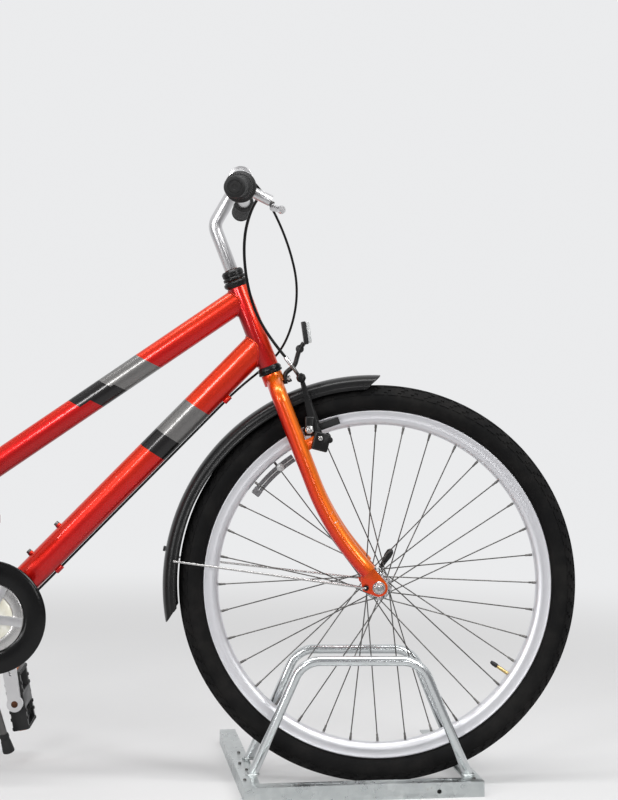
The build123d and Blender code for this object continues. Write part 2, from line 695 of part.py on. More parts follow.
def chain_band(y0, y1):
    """One row of side plates along the whole chain loop."""
    span = (REAR_HUB - BB).length
    tilt = math.atan2(REAR_HUB.Z - BB.Z, REAR_HUB.X - BB.X)
    off = math.acos((ring_pitch - cog_pitch) / span)
    run = math.sqrt(span ** 2 - (ring_pitch - cog_pitch) ** 2)
    wrap_ring = 2 * (math.pi - off)
    wrap_cog = 2 * off
    total = 2 * run + wrap_ring * ring_pitch + wrap_cog * cog_pitch
    links = round(total / CHAIN_PITCH)
    outer = []
    inner = []
    for k in range(2 * links):
        s = total * k / (2 * links)
        half = 4.4 if k % 2 == 0 else 3.2
        if s < run:
            n = tilt - off
            p = (BB.X, BB.Z)
            base = ring_pitch + (cog_pitch - ring_pitch) * s / run
            foot_x = p[0] + (REAR_HUB.X - BB.X) * s / run
            foot_z = p[1] + (REAR_HUB.Z - BB.Z) * s / run
        elif s < run + wrap_cog * cog_pitch:
            n = tilt - off + (s - run) / cog_pitch
            base = cog_pitch
            foot_x, foot_z = REAR_HUB.X, REAR_HUB.Z
        elif s < 2 * run + wrap_cog * cog_pitch:
            t = (s - run - wrap_cog * cog_pitch) / run
            n = tilt + off
            base = cog_pitch + (ring_pitch - cog_pitch) * t
            foot_x = REAR_HUB.X + (BB.X - REAR_HUB.X) * t
            foot_z = REAR_HUB.Z + (BB.Z - REAR_HUB.Z) * t
        else:
            n = tilt + off + (s - 2 * run - wrap_cog * cog_pitch) / ring_pitch
            base = ring_pitch
            foot_x, foot_z = BB.X, BB.Z
        outer.append((foot_x + (base + half) * math.cos(n), foot_z + (base + half) * math.sin(n)))
        inner.append((foot_x + (base - half) * math.cos(n), foot_z + (base - half) * math.sin(n)))
    face = make_face(Polyline(*outer, close=True)) - make_face(Polyline(*inner, close=True))
    return Pos(0, y0, 0) * extrude(Plane.XZ * face, amount=y1 - y0, dir=(0, 1, 0))


parts["chain"] = [chain_band(CHAIN_Y - 3.8, CHAIN_Y - 1.4), chain_band(CHAIN_Y + 1.4, CHAIN_Y + 3.8)]

# Gear cable along the frame, its clips and the bottle bosses
def below_stay(back):
    """A point under the right chain stay, measured back from the cranks."""
    share = (back - 10) / (BB_X - 10 - CHAIN_END.X)
    y = 26.5 + (CHAIN_END.Y - 26.5) * share
    z = BB_Z + 1 + (CHAIN_END.Z - BB_Z - 1) * share
    return Vector(BB_X - back, -y, z - STAY_R - CABLE_GAP - 0.2)


parts["gear_cable"] = pipe(
    [
        under(97.0, CABLE_GAP),
        under(512, CABLE_GAP),
        Vector(BB_X + 8, -30, BB_Z - 28),
        below_stay(92),
        below_stay(370),
    ],
    [40.0, 30.0, 40.0],
    2.0,
)
guides = []
for distance in (104.0, 500.0):
    spot = under(distance, CABLE_GAP)
    guide = rod(spot - down_dir * 7, spot + down_dir * 7, 4.6)
    guide -= rod(spot - down_dir * 9, spot + down_dir * 9, 2.0)
    guides.append(guide - parts["down_tube"])
for distance in (450.0, 515.0):
    top = DOWN_TOP + down_dir * distance - down_low * (DOWN_TUBE_R - 0.5)
    guides.append(rod(top, top - down_low * 4.0, 5.0) - parts["down_tube"])
parts["frame_bosses"] = guides

# Kickstand: bracket under the chain stays, hinged leg
KICK_PIVOT = Vector(BB_X - 42, 35, BB_Z - 30)
KICK_FOOT = Vector(BB_X + 14, 78, 34)
leg_dir = (KICK_FOOT - KICK_PIVOT).normalized()
stowed_dir = Vector(-0.99, 0.11, 0.05).normalized()
KICK_AXIS = leg_dir.cross(stowed_dir).normalized()
bracket_block = Pos(BB_X - 44, 6, BB_Z - 11) * Box(34, 62, 12)
for stay_solid in parts["chain_stays"]:
    bracket_block -= stay_solid
lift = Vector(0, 0, 6) - KICK_AXIS * (KICK_AXIS.Z * 6)
bracket_block += rod(KICK_PIVOT + lift - KICK_AXIS * 14, KICK_PIVOT + lift - KICK_AXIS * 8.4, 14.0)
bracket_block += rod(KICK_PIVOT - KICK_AXIS * 10, KICK_PIVOT + KICK_AXIS * 10, 4.0)
bracket_block += rod(KICK_PIVOT + KICK_AXIS * 8.4, KICK_PIVOT + KICK_AXIS * 11, 7.0)
parts["kickstand_bracket"] = bracket_block
leg = rod(KICK_PIVOT, KICK_FOOT, 6.5)
leg += rod(KICK_PIVOT - KICK_AXIS * 8, KICK_PIVOT + KICK_AXIS * 8, 11.0)
leg -= rod(KICK_PIVOT - KICK_AXIS * 9, KICK_PIVOT + KICK_AXIS * 9, 4.1)
parts["kickstand_leg"] = leg
parts["kickstand_foot"] = rod(KICK_FOOT - leg_dir * 26, KICK_FOOT + leg_dir * 4, 9.5) - leg

# Wheel rack: two bent hoops on a base of angle rails
HOOP_R = 8.0
HOOP_Y = 56.0
RAIL_H = 25.0
RAIL_W = 28.0
RAIL_T = 3.0


def hoop(y, back):
    """One trapezoid hoop beside the tyre."""
    return pipe(
        [
            at(-206 - back, y, RAIL_H + 0.0),
            at(-124 - back, y, 210),
            at(69 - back, y, 210),
            at(145 - back, y, RAIL_H + 0.0),
        ],
        [45.0, 45.0],
        HOOP_R,
    )


def rail(start, end, inward):
    """An angle rail: outer wall and top flange, from start to end."""
    along = (end - start).normalized()
    plane = Plane(origin=start, x_dir=inward, z_dir=along)
    up = plane.to_local_coords(start + Vector(0, 0, 1)).Y
    section = Pos(RAIL_T / 2, up * RAIL_H / 2) * Rectangle(RAIL_T, RAIL_H)
    section += Pos(RAIL_W / 2, up * (RAIL_H - RAIL_T / 2)) * Rectangle(RAIL_W, RAIL_T)
    return extrude(plane * section, amount=(end - start).length)


near_left = at(-218, -145, 0)
near_right = at(167, -100, 0)
side_dir = Vector(-0.12, 1.0, 0).normalized()
far_left = near_left + side_dir * 425
far_right = near_right + side_dir * 380
side_in = Vector(side_dir.Y, -side_dir.X, 0)
near_dir = (near_right - near_left).normalized()
near_in = Vector(-near_dir.Y, near_dir.X, 0)
base = rail(near_left, far_left, side_in)
base += rail(near_right, far_right, side_in * -1)
base += rail(near_left, near_right, near_in)
parts["rack_base"] = base
hoops = []
cutter = Pos(FRONT_X, 0, RAIL_H - 50) * Box(900, 900, 100)
for y, back in ((-HOOP_Y, 0.0), (HOOP_Y, 7.0)):
    hoops.append(hoop(y, back) - cutter)
parts["rack_hoops"] = hoops

# Write one file for each named part
os.makedirs("parts", exist_ok=True)
for name, shape in parts.items():
    if isinstance(shape, (list, tuple)):
        solids = [s for item in shape for s in item.solids()]
    else:
        solids = list(shape.solids())
    made = solids[0] if len(solids) == 1 else Compound(children=solids)
    made.label = name
    export_step(made, os.path.join("parts", name + ".step"))
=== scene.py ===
# %% [markdown]
# # A city bicycle in its wheel rack
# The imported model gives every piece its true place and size. This lesson dresses it:
# each cell takes one part of the bicycle, says what it is on the real thing, and makes
# it in Blender with the tools that a modeller would use by hand.

# %% Load the frame
import json
import math
import bpy
from mathutils import Matrix, Vector


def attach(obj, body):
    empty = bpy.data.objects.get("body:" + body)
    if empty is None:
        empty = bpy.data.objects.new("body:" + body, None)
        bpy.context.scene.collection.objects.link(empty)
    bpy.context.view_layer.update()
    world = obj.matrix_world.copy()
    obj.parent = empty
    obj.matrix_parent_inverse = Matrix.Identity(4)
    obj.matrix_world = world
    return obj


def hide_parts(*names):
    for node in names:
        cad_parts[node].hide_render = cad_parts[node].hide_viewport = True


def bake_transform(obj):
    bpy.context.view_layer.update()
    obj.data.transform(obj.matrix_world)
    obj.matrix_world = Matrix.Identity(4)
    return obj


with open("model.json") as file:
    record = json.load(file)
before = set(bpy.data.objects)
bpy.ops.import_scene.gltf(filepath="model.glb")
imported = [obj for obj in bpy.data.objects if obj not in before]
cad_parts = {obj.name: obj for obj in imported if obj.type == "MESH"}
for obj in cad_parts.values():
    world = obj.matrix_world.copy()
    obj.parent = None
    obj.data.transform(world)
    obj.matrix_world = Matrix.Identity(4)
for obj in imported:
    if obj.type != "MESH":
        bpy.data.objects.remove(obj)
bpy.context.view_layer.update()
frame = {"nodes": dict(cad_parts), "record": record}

SLOT_OF = {row["node"]: row["material_slot"] for row in frame["record"]["subparts"]}
BODIES = frame["record"]["behaviour"]["bodies"]
BODY_OF = {node: body for body, nodes in BODIES.items() for node in nodes}

# %% [markdown]
# ## Where things are
# The bicycle was laid out from three points: the two hubs and the bottom bracket. The
# steering axis leans back, so what sits on the fork is easiest to place by its distance
# ahead of that axis and its height along it. Sizes are written in millimetres.

# %% Places
MM = 0.001
ORIGIN = Vector((0, 0, 0))
UP = Vector((0, 0, 1))
SIDEWAYS = Vector((0, 1, 0))
SIDES = (-1, 1)
FRONT_HUB = Vector((552.8, 0, 329.0)) * MM
REAR_HUB = Vector((-526.2, 0, 329.0)) * MM
HUBS = (("front", FRONT_HUB), ("rear", REAR_HUB))
CRANK_AXLE = Vector((-84.2, 0, 280.0)) * MM
FORK_OFFSET = 38.3
HEAD_ANGLE = math.radians(68.9)
SEAT_ANGLE = math.radians(72)
AXIS_UP = Vector((-math.cos(HEAD_ANGLE), 0, math.sin(HEAD_ANGLE)))
AXIS_AHEAD = Vector((math.sin(HEAD_ANGLE), 0, math.cos(HEAD_ANGLE)))
AXIS_FOOT = FRONT_HUB - AXIS_AHEAD * FORK_OFFSET * MM
SEAT_WAY = Vector((-math.cos(SEAT_ANGLE), 0, math.sin(SEAT_ANGLE)))


def at(x, y, z):
    """A point measured along X from the front hub, in millimetres."""
    return Vector((FRONT_HUB.x + x * MM, y * MM, z * MM))


def steer(ahead, y, up):
    """A point ahead of the steering axis and up along it, in millimetres."""
    return AXIS_FOOT + (AXIS_AHEAD * ahead + SIDEWAYS * y + AXIS_UP * up) * MM


def around(hub, degrees, reach, y=0.0):
    """A point at an angle and a distance from a hub, in millimetres."""
    a = math.radians(degrees)
    return hub + Vector((reach * math.cos(a), y, reach * math.sin(a))) * MM


DOWN_TALL = 24.0
TOP_TALL = 21.0
DOWN_TOP = at(-194, 0, 726.8)
DOWN_ALONG = (CRANK_AXLE - DOWN_TOP).normalized()
DOWN_BELOW = Vector((-DOWN_ALONG.z, 0, DOWN_ALONG.x))
TOP_HEAD = at(-224, 0, 802.5)
TOP_SEAT = at(-702, 0, 479)
TOP_ALONG = (TOP_SEAT - TOP_HEAD).normalized()
TOP_ACROSS = Vector((-TOP_ALONG.z, 0, TOP_ALONG.x))


def under(distance, gap):
    """A point below the down tube, measured from its upper end."""
    return DOWN_TOP + (DOWN_ALONG * distance + DOWN_BELOW * (DOWN_TALL + gap)) * MM


print("down tube falls along", tuple(round(c, 3) for c in DOWN_ALONG))

# %% [markdown]
# ## Working by hand, in code
# Every operator acts on what is selected, so the first helper clears the selection and
# picks one piece. The others are the few moves that return all through the lesson: merge
# a copied mesh, soften its edges, smooth its shading, and hand it to a body of the frame.

# %% Helpers for picking and finishing
MATERIALS = {}
MADE = []


def pick(piece, *others):
    """Select these pieces only, the first one active."""
    if bpy.context.object and bpy.context.object.mode != "OBJECT":
        bpy.ops.object.mode_set(mode="OBJECT")
    bpy.ops.object.select_all(action="DESELECT")
    for other in others:
        other.select_set(True)
    piece.select_set(True)
    bpy.context.view_layer.objects.active = piece
    return piece


def edit_all(piece):
    """Go to edit mode with the whole mesh of a piece selected."""
    pick(piece)
    bpy.ops.object.mode_set(mode="EDIT")
    bpy.ops.mesh.select_mode(type="VERT")
    bpy.ops.mesh.select_all(action="SELECT")


def leave_edit():
    """Go back to object mode."""
    bpy.ops.object.mode_set(mode="OBJECT")


def modify(piece, kind, **settings):
    """Add one modifier with its settings and apply it."""
    pick(piece)
    modifier = piece.modifiers.new(kind.lower(), kind)
    for key, value in settings.items():
        setattr(modifier, key, value)
    bpy.ops.object.modifier_apply(modifier=modifier.name)
    return piece


def soften(piece, width, segments=2, angle=38):
    """Round the sharp edges of a piece by a small width in millimetres."""
    return modify(
        piece,
        "BEVEL",
        width=width * MM,
        segments=segments,
        limit_method="ANGLE",
        angle_limit=math.radians(angle),
        use_clamp_overlap=True,
        miter_outer="MITER_ARC",
    )


def smooth(piece, angle):
    """Smooth shading that keeps the corners sharper than this angle."""
    pick(piece)
    bpy.ops.object.shade_smooth_by_angle(angle=math.radians(angle))
    return piece


def hand_over(piece, name, finish, body, *replaces, slot=None, angle=40):
    """Smooth and name a piece, give it its finish and let it ride on its body."""
    smooth(piece, angle)
    piece.name = name
    piece.data.name = name
    piece.data.materials.clear()
    piece.data.materials.append(MATERIALS[finish])
    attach(piece, body)
    if replaces:
        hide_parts(*replaces)
    MADE.append(name)
    return piece


def merged_copy(node):
    """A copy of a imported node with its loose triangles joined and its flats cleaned."""
    pick(frame["nodes"][node])
    bpy.ops.object.duplicate()
    piece = bpy.context.object
    piece.parent = None
    for key in list(piece.keys()):
        del piece[key]
    edit_all(piece)
    bpy.ops.mesh.remove_doubles(threshold=0.01 * MM)
    bpy.ops.mesh.dissolve_limited(angle_limit=math.radians(0.3))
    leave_edit()
    if piece.data.has_custom_normals:
        bpy.ops.mesh.customdata_custom_splitnormals_clear()
    return piece


print("helpers ready")

# %% [markdown]
# ## Shader maths that reads like maths
# A finish is a small graph of nodes. Wrapping a socket in a class with operators lets the
# graph be written as an expression, and one method adds any other node.


# %% The socket wrapper
class Wire:
    """One output socket of a material's node tree."""

    def __init__(self, tree, socket=None):
        self.tree = tree
        self.socket = socket

    def add(self, kind, settings=None, sockets=None, out=0):
        """Add a node, set it up, plug its inputs and return one of its outputs."""
        node = self.tree.nodes.new("ShaderNode" + kind)
        for key, value in (settings or {}).items():
            if key == "stops":
                elements = node.color_ramp.elements
                elements[0].position, elements[0].color = value[0]
                elements[1].position, elements[1].color = value[-1]
                for place, colour in value[1:-1]:
                    elements.new(place).color = colour
            else:
                setattr(node, key, value)
        for key, value in (sockets or {}).items():
            if isinstance(value, Wire):
                self.tree.links.new(value.socket, node.inputs[key])
            else:
                node.inputs[key].default_value = value
        return Wire(self.tree, node.outputs[out])

    def maths(self, operation, *values):
        return self.add("Math", {"operation": operation}, dict(enumerate(values)))

    def __add__(self, other):
        return self.maths("ADD", self, other)

    def __radd__(self, other):
        return self.maths("ADD", other, self)

    def __sub__(self, other):
        return self.maths("SUBTRACT", self, other)

    def __rsub__(self, other):
        return self.maths("SUBTRACT", other, self)

    def __mul__(self, other):
        return self.maths("MULTIPLY", self, other)

    def __rmul__(self, other):
        return self.maths("MULTIPLY", other, self)

    def __gt__(self, other):
        return self.maths("GREATER_THAN", self, other)

    def __lt__(self, other):
        return self.maths("LESS_THAN", self, other)

    def ramp(self, low, high):
        """0 below low, 1 above high, smooth between."""
        sockets = {"Value": self, "From Min": low, "From Max": high}
        return self.add("MapRange", {"interpolation_type": "SMOOTHSTEP"}, sockets)

    def blend(self, first, second):
        """Colour from first to second as this value goes from 0 to 1."""
        return self.add("Mix", {"data_type": "RGBA"}, {0: self, 6: first, 7: second}, out=2)

    def colours(self, *stops):
        """Colour from a ramp of (place, (r, g, b))."""
        full = [(place, (*colour, 1.0)) for place, colour in stops]
        return self.add("ValToRGB", {"stops": full}, {0: self})

    def place(self):
        return self.add("TexCoord", out="Object")

    def vector(self, operation, other, out="Value"):
        return self.add("VectorMath", {"operation": operation}, {0: self, 1: tuple(other)}, out=out)

    def dot(self, other):
        return self.vector("DOT_PRODUCT", other)

    def noise(self, size, detail=3.0, rough=0.55):
        """Noise with features of about this size in millimetres."""
        sockets = {"Vector": self.place(), "Scale": 1 / (size * MM), "Detail": detail, "Roughness": rough}
        return self.add("TexNoise", {}, sockets)

    def cells(self, size, feature="F1", out="Distance"):
        """Voronoi cells of about this size in millimetres."""
        sockets = {"Vector": self.place(), "Scale": 1 / (size * MM)}
        return self.add("TexVoronoi", {"feature": feature}, sockets, out=out)

    def bump(self, depth, strength):
        """A bump from this height, of this depth in millimetres."""
        sockets = {"Height": self, "Distance": depth * MM, "Strength": strength}
        return self.add("Bump", {}, sockets, out="Normal")


def finish_of(name, build):
    """A named material, whose principled shader gets what the build function returns."""
    material = bpy.data.materials.new(name)
    material.use_nodes = True
    tree = material.node_tree
    tree.nodes.clear()
    output = tree.nodes.new("ShaderNodeOutputMaterial")
    shader = tree.nodes.new("ShaderNodeBsdfPrincipled")
    tree.links.new(shader.outputs[0], output.inputs["Surface"])
    for key, value in build(Wire(tree)).items():
        if isinstance(value, Wire):
            tree.links.new(value.socket, shader.inputs[key])
        else:
            shader.inputs[key].default_value = (*value, 1.0) if isinstance(value, tuple) else value
    MATERIALS[name] = material
    return material


# %% [markdown]
# ## Candy paint
# The frame is sprayed in a clear red-orange over a bright base. Its colour carries painted
# light and shade: crimson as painted shade where the surface looks down and back, golden
# orange as painted light where it looks up and ahead. That turn is painted from the surface's
# own direction, which does not change with the viewer, and the tone is also warmer towards
# the front. Small chips and a haze of road dust keep it from looking new. Two tubes carry
# plain bands.

# %% Frame paint
CRIMSON = (0.24, 0.0012, 0.0050)
RED = (0.58, 0.0040, 0.0030)
ORANGE = (0.72, 0.046, 0.0025)
GOLD = (0.84, 0.165, 0.005)
BAND_GREY = (0.17, 0.165, 0.16, 1)
BAND_BLACK = (0.014, 0.013, 0.013, 1)
CHIP = (0.55, 0.50, 0.45, 1)
# The way the painted light comes from: up and a little ahead.
PAINTED_LIGHT_WAY = Vector((0.45, -0.05, 0.89)).normalized()
LACQUER = 0.6
TOP_BANDS = (TOP_HEAD, TOP_ALONG, TOP_ACROSS, (0.55, 20.0, 187.0, 262.0, 322.0))
DOWN_BANDS = (DOWN_TOP, DOWN_ALONG, DOWN_BELOW, (0.2, 0.0, 148.0, 216.0, 253.0))
WORN_SPOT = at(-191, -4, 761)


def paint(bands=None, warmth=0.0, worn=None):
    """Candy paint, with bands as (start, along, across, edges) and one worn spot."""

    def build(w):
        place = w.place()
        # Painted light and shade: golden where the surface faces up and ahead, crimson where it faces down
        # and back, and warmer towards the front.
        painted_light_facing = w.add("TexCoord", out="Normal").dot(PAINTED_LIGHT_WAY)
        ahead = place.dot((1, 0, 0)).ramp(-0.1, 0.5)
        drift = w.noise(60, 2) - 0.5
        tone = painted_light_facing * 0.45 + 0.30 + ahead * 0.22 + warmth + drift * 0.08
        colour = tone.colours((0.05, CRIMSON), (0.40, RED), (0.70, ORANGE), (1.0, GOLD))
        if bands:
            start, along, across, (slant, step, grey_from, black_from, black_to) = bands
            run = place.dot(along) - start.dot(along)
            side = place.dot(across) - start.dot(across)
            shifted = run + side * slant
            lower = (side > 0.0) * (step * MM)
            grey = (shifted > grey_from * MM) * (shifted + lower * 0.35 < black_from * MM)
            black_band = (shifted + lower * 0.35 > black_from * MM) * (shifted + lower < black_to * MM)
            colour = black_band.blend(grey.blend(colour, BAND_GREY), BAND_BLACK)
        chipped = (w.noise(7, 4, 0.6) * w.noise(90, 1)).ramp(0.475, 0.49)
        if worn:
            near = 1 - place.vector("DISTANCE", worn).ramp(4 * MM, 15 * MM)
            chipped = w.maths("MAXIMUM", chipped, (near * w.noise(6, 4, 0.6)).ramp(0.40, 0.45))
        dust = w.noise(25, 5, 0.65)
        flake = w.noise(0.6, 1) * 0.06 + w.noise(14, 2)
        return {
            "Base Color": chipped.blend(colour, CHIP),
            "Metallic": 0.62,
            "Roughness": 0.24 + dust * 0.16 + chipped * 0.3,
            "Specular IOR Level": 0.2,
            "Coat Weight": LACQUER - chipped * LACQUER,
            "Coat Roughness": 0.15,
            "Normal": (flake - chipped * 0.8).bump(0.05, 0.22),
        }

    return build


# The copies differ only in tone: the fork and down tube are shifted warmer and the head tube redder, as
# painted light and shade on those parts.
finish_of("paint", paint())
finish_of("paint_head", paint(warmth=-0.14, worn=WORN_SPOT))
finish_of("paint_fork", paint(warmth=0.24))
finish_of("paint_top_tube", paint(TOP_BANDS))
finish_of("paint_down_tube", paint(DOWN_BANDS, warmth=0.06))
print("paint ready:", len(MATERIALS), "mixes")

# %% [markdown]
# ## Rubber and black plastic
# Tyres, grips and cable housings are all black, but they differ in how they take light.
# The tyre is dull and dusty with a fine moulded skin. The mudguards and the chain guard
# are smooth plastic with a satin gloss and hairline scratches. The brake arms are painted.

# %% Black finishes
ROAD_DUST = (0.17, 0.155, 0.14, 1)


def black(tone, rough, spread, grain, depth, dust, shine):
    """A black finish: tone, mean roughness and its spread, grain size and depth in mm."""

    def build(w):
        cloud = w.noise(35, 5, 0.62)
        scuff = w.noise(9, 6, 0.75).ramp(0.56, 0.74)
        tint = cloud.ramp(0.35, 0.8) * dust + scuff * dust * 0.6
        return {
            "Base Color": tint.blend((tone, tone, tone * 1.04, 1), ROAD_DUST),
            "Roughness": rough + (cloud - 0.5) * spread + scuff * 0.12,
            "Specular IOR Level": shine,
            "Normal": (w.noise(grain, 2) + scuff * 0.4).bump(depth, 0.5),
        }

    return build


for name, slot, *look in (
    ("tyre_black", "tyre_rubber", 0.004, 0.74, 0.22, 1.1, 0.10, 0.05, 0.12),
    ("grip_black", "grip_rubber", 0.007, 0.55, 0.20, 0.8, 0.08, 0.04, 0.35),
    ("guard_black", "black_plastic", 0.006, 0.28, 0.12, 1.5, 0.015, 0.02, 0.27),
    ("chain_guard_black", "black_plastic", 0.004, 0.18, 0.08, 2.0, 0.015, 0.01, 0.25),
    ("moulded_black", "black_plastic", 0.008, 0.42, 0.15, 0.7, 0.05, 0.04, 0.40),
    ("enamel_black", "black_plastic", 0.003, 0.28, 0.12, 1.2, 0.02, 0.02, 0.30),
    ("housing_black", "cable_black", 0.003, 0.34, 0.10, 1.0, 0.02, 0.0, 0.20),
):
    finish_of(name, black(*look))
print("blacks ready:", len(MATERIALS))

# %% [markdown]
# ## Bare metals
# The rims, stem and cranks are aluminium with a fine polished grain. Spokes and fasteners
# are bright steel; the spokes and spoke nipples are given a dark tint instead, a painted
# shade. The rack is dipped in zinc, which freezes into flat crystals that each turn the light
# a little differently, with pale stains in the corners.


# %% Metals
def metal(tint, rough, spread, grain, depth, stain):
    """A bare metal: tint, roughness, grain size and depth in mm, and how stained it is."""

    def build(w):
        lines = w.noise(grain, 3, 0.6)
        cloud = w.noise(18, 5, 0.65)
        spots = w.noise(5, 5, 0.7).ramp(0.60, 0.75)
        dull = cloud.ramp(0.4, 0.8) * stain + spots * stain * 0.4
        return {
            "Base Color": dull.blend((*tint, 1), tuple(c * 0.52 for c in tint) + (1,)),
            "Metallic": 1.0,
            "Roughness": rough + (lines - 0.5) * spread + dull * 0.5,
            "Normal": lines.bump(depth, 0.15),
        }

    return build


def zinc(w):
    shade = w.cells(9, out="Color").dot((0.4, 0.3, 0.3))
    stain = w.noise(40, 6, 0.7).ramp(0.45, 0.75)
    rust = (w.noise(10, 6, 0.8) * w.noise(70, 2)).ramp(0.40, 0.47)
    colour = (shade * 0.9).blend((0.46, 0.49, 0.49, 1), (0.60, 0.63, 0.625, 1))
    colour = (stain * 0.35).blend(colour, (0.64, 0.65, 0.63, 1))
    return {
        "Base Color": (rust * 0.55).blend(colour, (0.16, 0.085, 0.045, 1)),
        "Metallic": 0.95 - stain * 0.3 - rust * 0.5,
        "Roughness": 0.24 + shade * 0.10 + stain * 0.16 + rust * 0.3,
        "Normal": (shade * 0.3 + w.noise(3, 3) * 0.6 + rust).bump(0.03, 0.3),
    }


for name, slot, *look in (
    ("rim_alloy", "polished_alloy", (0.74, 0.74, 0.765), 0.44, 0.10, 0.5, 0.012, 0.08),
    ("satin_alloy", "polished_alloy", (0.64, 0.635, 0.64), 0.30, 0.08, 0.7, 0.008, 0.08),
    ("bright_steel", "bright_steel", (0.56, 0.55, 0.54), 0.24, 0.12, 0.6, 0.015, 0.20),
    # The spokes are bright steel; this dark tint on them is a painted shade.
    ("spoke_steel", "bright_steel", (0.13, 0.125, 0.12), 0.30, 0.10, 3.0, 0.010, 0.30),
    ("hoop_steel", "galvanised", (0.66, 0.685, 0.69), 0.20, 0.06, 3.0, 0.008, 0.16),
    ("dark_steel", "bright_steel", (0.16, 0.155, 0.15), 0.38, 0.20, 1.0, 0.040, 0.35),
    ("brass", "bright_steel", (0.62, 0.46, 0.20), 0.30, 0.15, 0.8, 0.020, 0.20),
    ("rusty_steel", "bright_steel", (0.085, 0.040, 0.025), 0.55, 0.20, 1.2, 0.050, 0.40),
):
    finish_of(name, metal(*look))
finish_of("zinc", zinc)
print("metals ready:", len(MATERIALS))

# %% [markdown]
# ## Reflectors, saddle cover, enamel
# A reflector is clear plastic moulded into rows of tiny corners, so its face sparkles in
# cells. The saddle has a pebbled vinyl cover. The disc in the chainring is cream enamel.


# %% Reflectors, saddle cover, enamel
def prisms(tint, dark, size):
    """Moulded reflector plastic with cells of this size in millimetres."""

    def build(w):
        facets = w.cells(size)
        tone = w.cells(size, out="Color").dot((0.34, 0.33, 0.33))
        return {
            "Base Color": (tone * 0.75 + facets * 0.35).blend((*dark, 1), (*tint, 1)),
            "Roughness": 0.10 + tone * 0.12,
            "Coat Weight": 0.4,
            "Coat Roughness": 0.08,
            "Normal": facets.bump(0.3, 0.2),
        }

    return build


def pebbled(w):
    pebbles = w.cells(1.7, feature="SMOOTH_F1")
    wear = w.noise(45, 4).ramp(0.48, 0.75)
    return {
        "Base Color": wear.blend((0.011, 0.011, 0.012, 1), (0.030, 0.029, 0.028, 1)),
        "Roughness": 0.55 - wear * 0.15 + pebbles * 0.1,
        "Normal": (1 - pebbles).bump(0.22, 0.6),
    }


def cream(w):
    cloud = w.noise(16, 5, 0.6)
    return {
        "Base Color": cloud.ramp(0.35, 0.75).blend((0.66, 0.63, 0.52, 1), (0.80, 0.79, 0.72, 1)),
        "Roughness": 0.28 + cloud * 0.15,
        "Coat Weight": 0.5,
        "Coat Roughness": 0.08,
        "Normal": w.noise(4, 3).bump(0.02, 0.3),
    }


for name, slot, *look in (
    ("clear_prisms", "clear_reflector", (0.60, 0.61, 0.605), (0.30, 0.305, 0.305), 2.2),
    ("grey_prisms", "clear_reflector", (0.20, 0.195, 0.20), (0.055, 0.055, 0.06), 2.0),
    ("red_prisms", "red_reflector", (0.62, 0.012, 0.010), (0.22, 0.004, 0.004), 2.4),
    ("amber_prisms", "red_reflector", (0.85, 0.22, 0.01), (0.42, 0.08, 0.004), 2.2),
):
    finish_of(name, prisms(*look))
finish_of("saddle_vinyl", pebbled)
finish_of("cream_enamel", cream)
print("finishes:", sorted(MATERIALS))

# %% [markdown]
# ## Cables
# Two housings leave the handlebar: the brake cable runs down to the front brake, and the
# gear cable swings ahead in a wide loop before it is clipped under the down tube. A housing
# is stiff, so it makes one clean curve. A NURBS spline through the route's own points
# gives that line. The loop crosses the steering joint, so it is made a smooth-shaded mesh
# that rides on no body.

# %% Cables
BRAKE_R = 2.5
GEAR_R = 2.0
BRAKE_ROUTE = [
    at(-193, -140.5, 961.5),
    at(-206, -112, 950),
    at(-222, -66, 893),
    at(-214, -38, 812),
    at(-187, -33, 746),
    at(-150, -30, 702.4),
]
LOOP_ROUTE = [
    at(-207, -163, 985),
    at(-186, -132, 968),
    at(-147, -82, 890),
    at(-129, -58, 808),
    at(-150, -8, 724),
    at(-192, 35, 682),
    under(66, 4.0) + SIDEWAYS * 7 * MM,
    under(96.5, 2.4),
]


def below_stay(back):
    """A point under the right chain stay, measured back from the cranks."""
    share = (back - 10) / 402.0
    return CRANK_AXLE + Vector((-back, -26.5 - 36.5 * share, 1 + 44.0 * share - 10.6)) * MM


FRAME_ROUTE = [
    under(97.0, 2.4),
    under(470.0, 2.4),
    under(512.0, 2.4),
    CRANK_AXLE + Vector((8, -30, -28)) * MM,
    below_stay(92),
    below_stay(125),
    below_stay(370),
]


def tube_through(points, radius, kind, rounds):
    """A round curve through a list of points, and its one spline."""
    bpy.ops.object.select_all(action="DESELECT")
    bpy.ops.curve.primitive_nurbs_path_add()
    curve = bpy.context.object
    curve.data.splines.clear()
    spline = curve.data.splines.new(kind)
    spline.points.add(len(points) - 1)
    for point, spot in zip(spline.points, points):
        point.co = (*spot, 1.0)
    curve.data.dimensions = "3D"
    curve.data.bevel_depth = radius * MM
    curve.data.bevel_resolution = rounds
    return curve, spline


def housing(name, route, radius):
    """A smooth round cable through the points of its route."""
    cable, spline = tube_through(route, radius, "NURBS", 4)
    spline.order_u = 3
    spline.use_endpoint_u = True
    spline.resolution_u = 14
    cable.data.use_fill_caps = True
    cable.data.materials.append(MATERIALS["housing_black"])
    cable.name = name
    return cable


def as_mesh(curve):
    """Turn a curve into a mesh."""
    pick(curve)
    bpy.ops.object.convert(target="MESH")
    return bpy.context.object


def line_of(cable):
    """The points along a cable's middle, and its length."""
    depth = cable.data.bevel_depth
    cable.data.bevel_depth = 0.0
    bpy.context.view_layer.update()
    line = bpy.data.meshes.new_from_object(cable.evaluated_get(bpy.context.evaluated_depsgraph_get()))
    points = [vertex.co.copy() for vertex in line.vertices]
    cable.data.bevel_depth = depth
    bpy.data.meshes.remove(line)
    return points, sum((b - a).length for a, b in zip(points, points[1:]))


def lay_cord(cable, node, route, length, radius, lay, **path):
    """Hide the node that a cable stands for, and print the cable's length."""
    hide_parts(node)
    2 * radius * MM
    print(cable.name, round(length, 4), "m long")


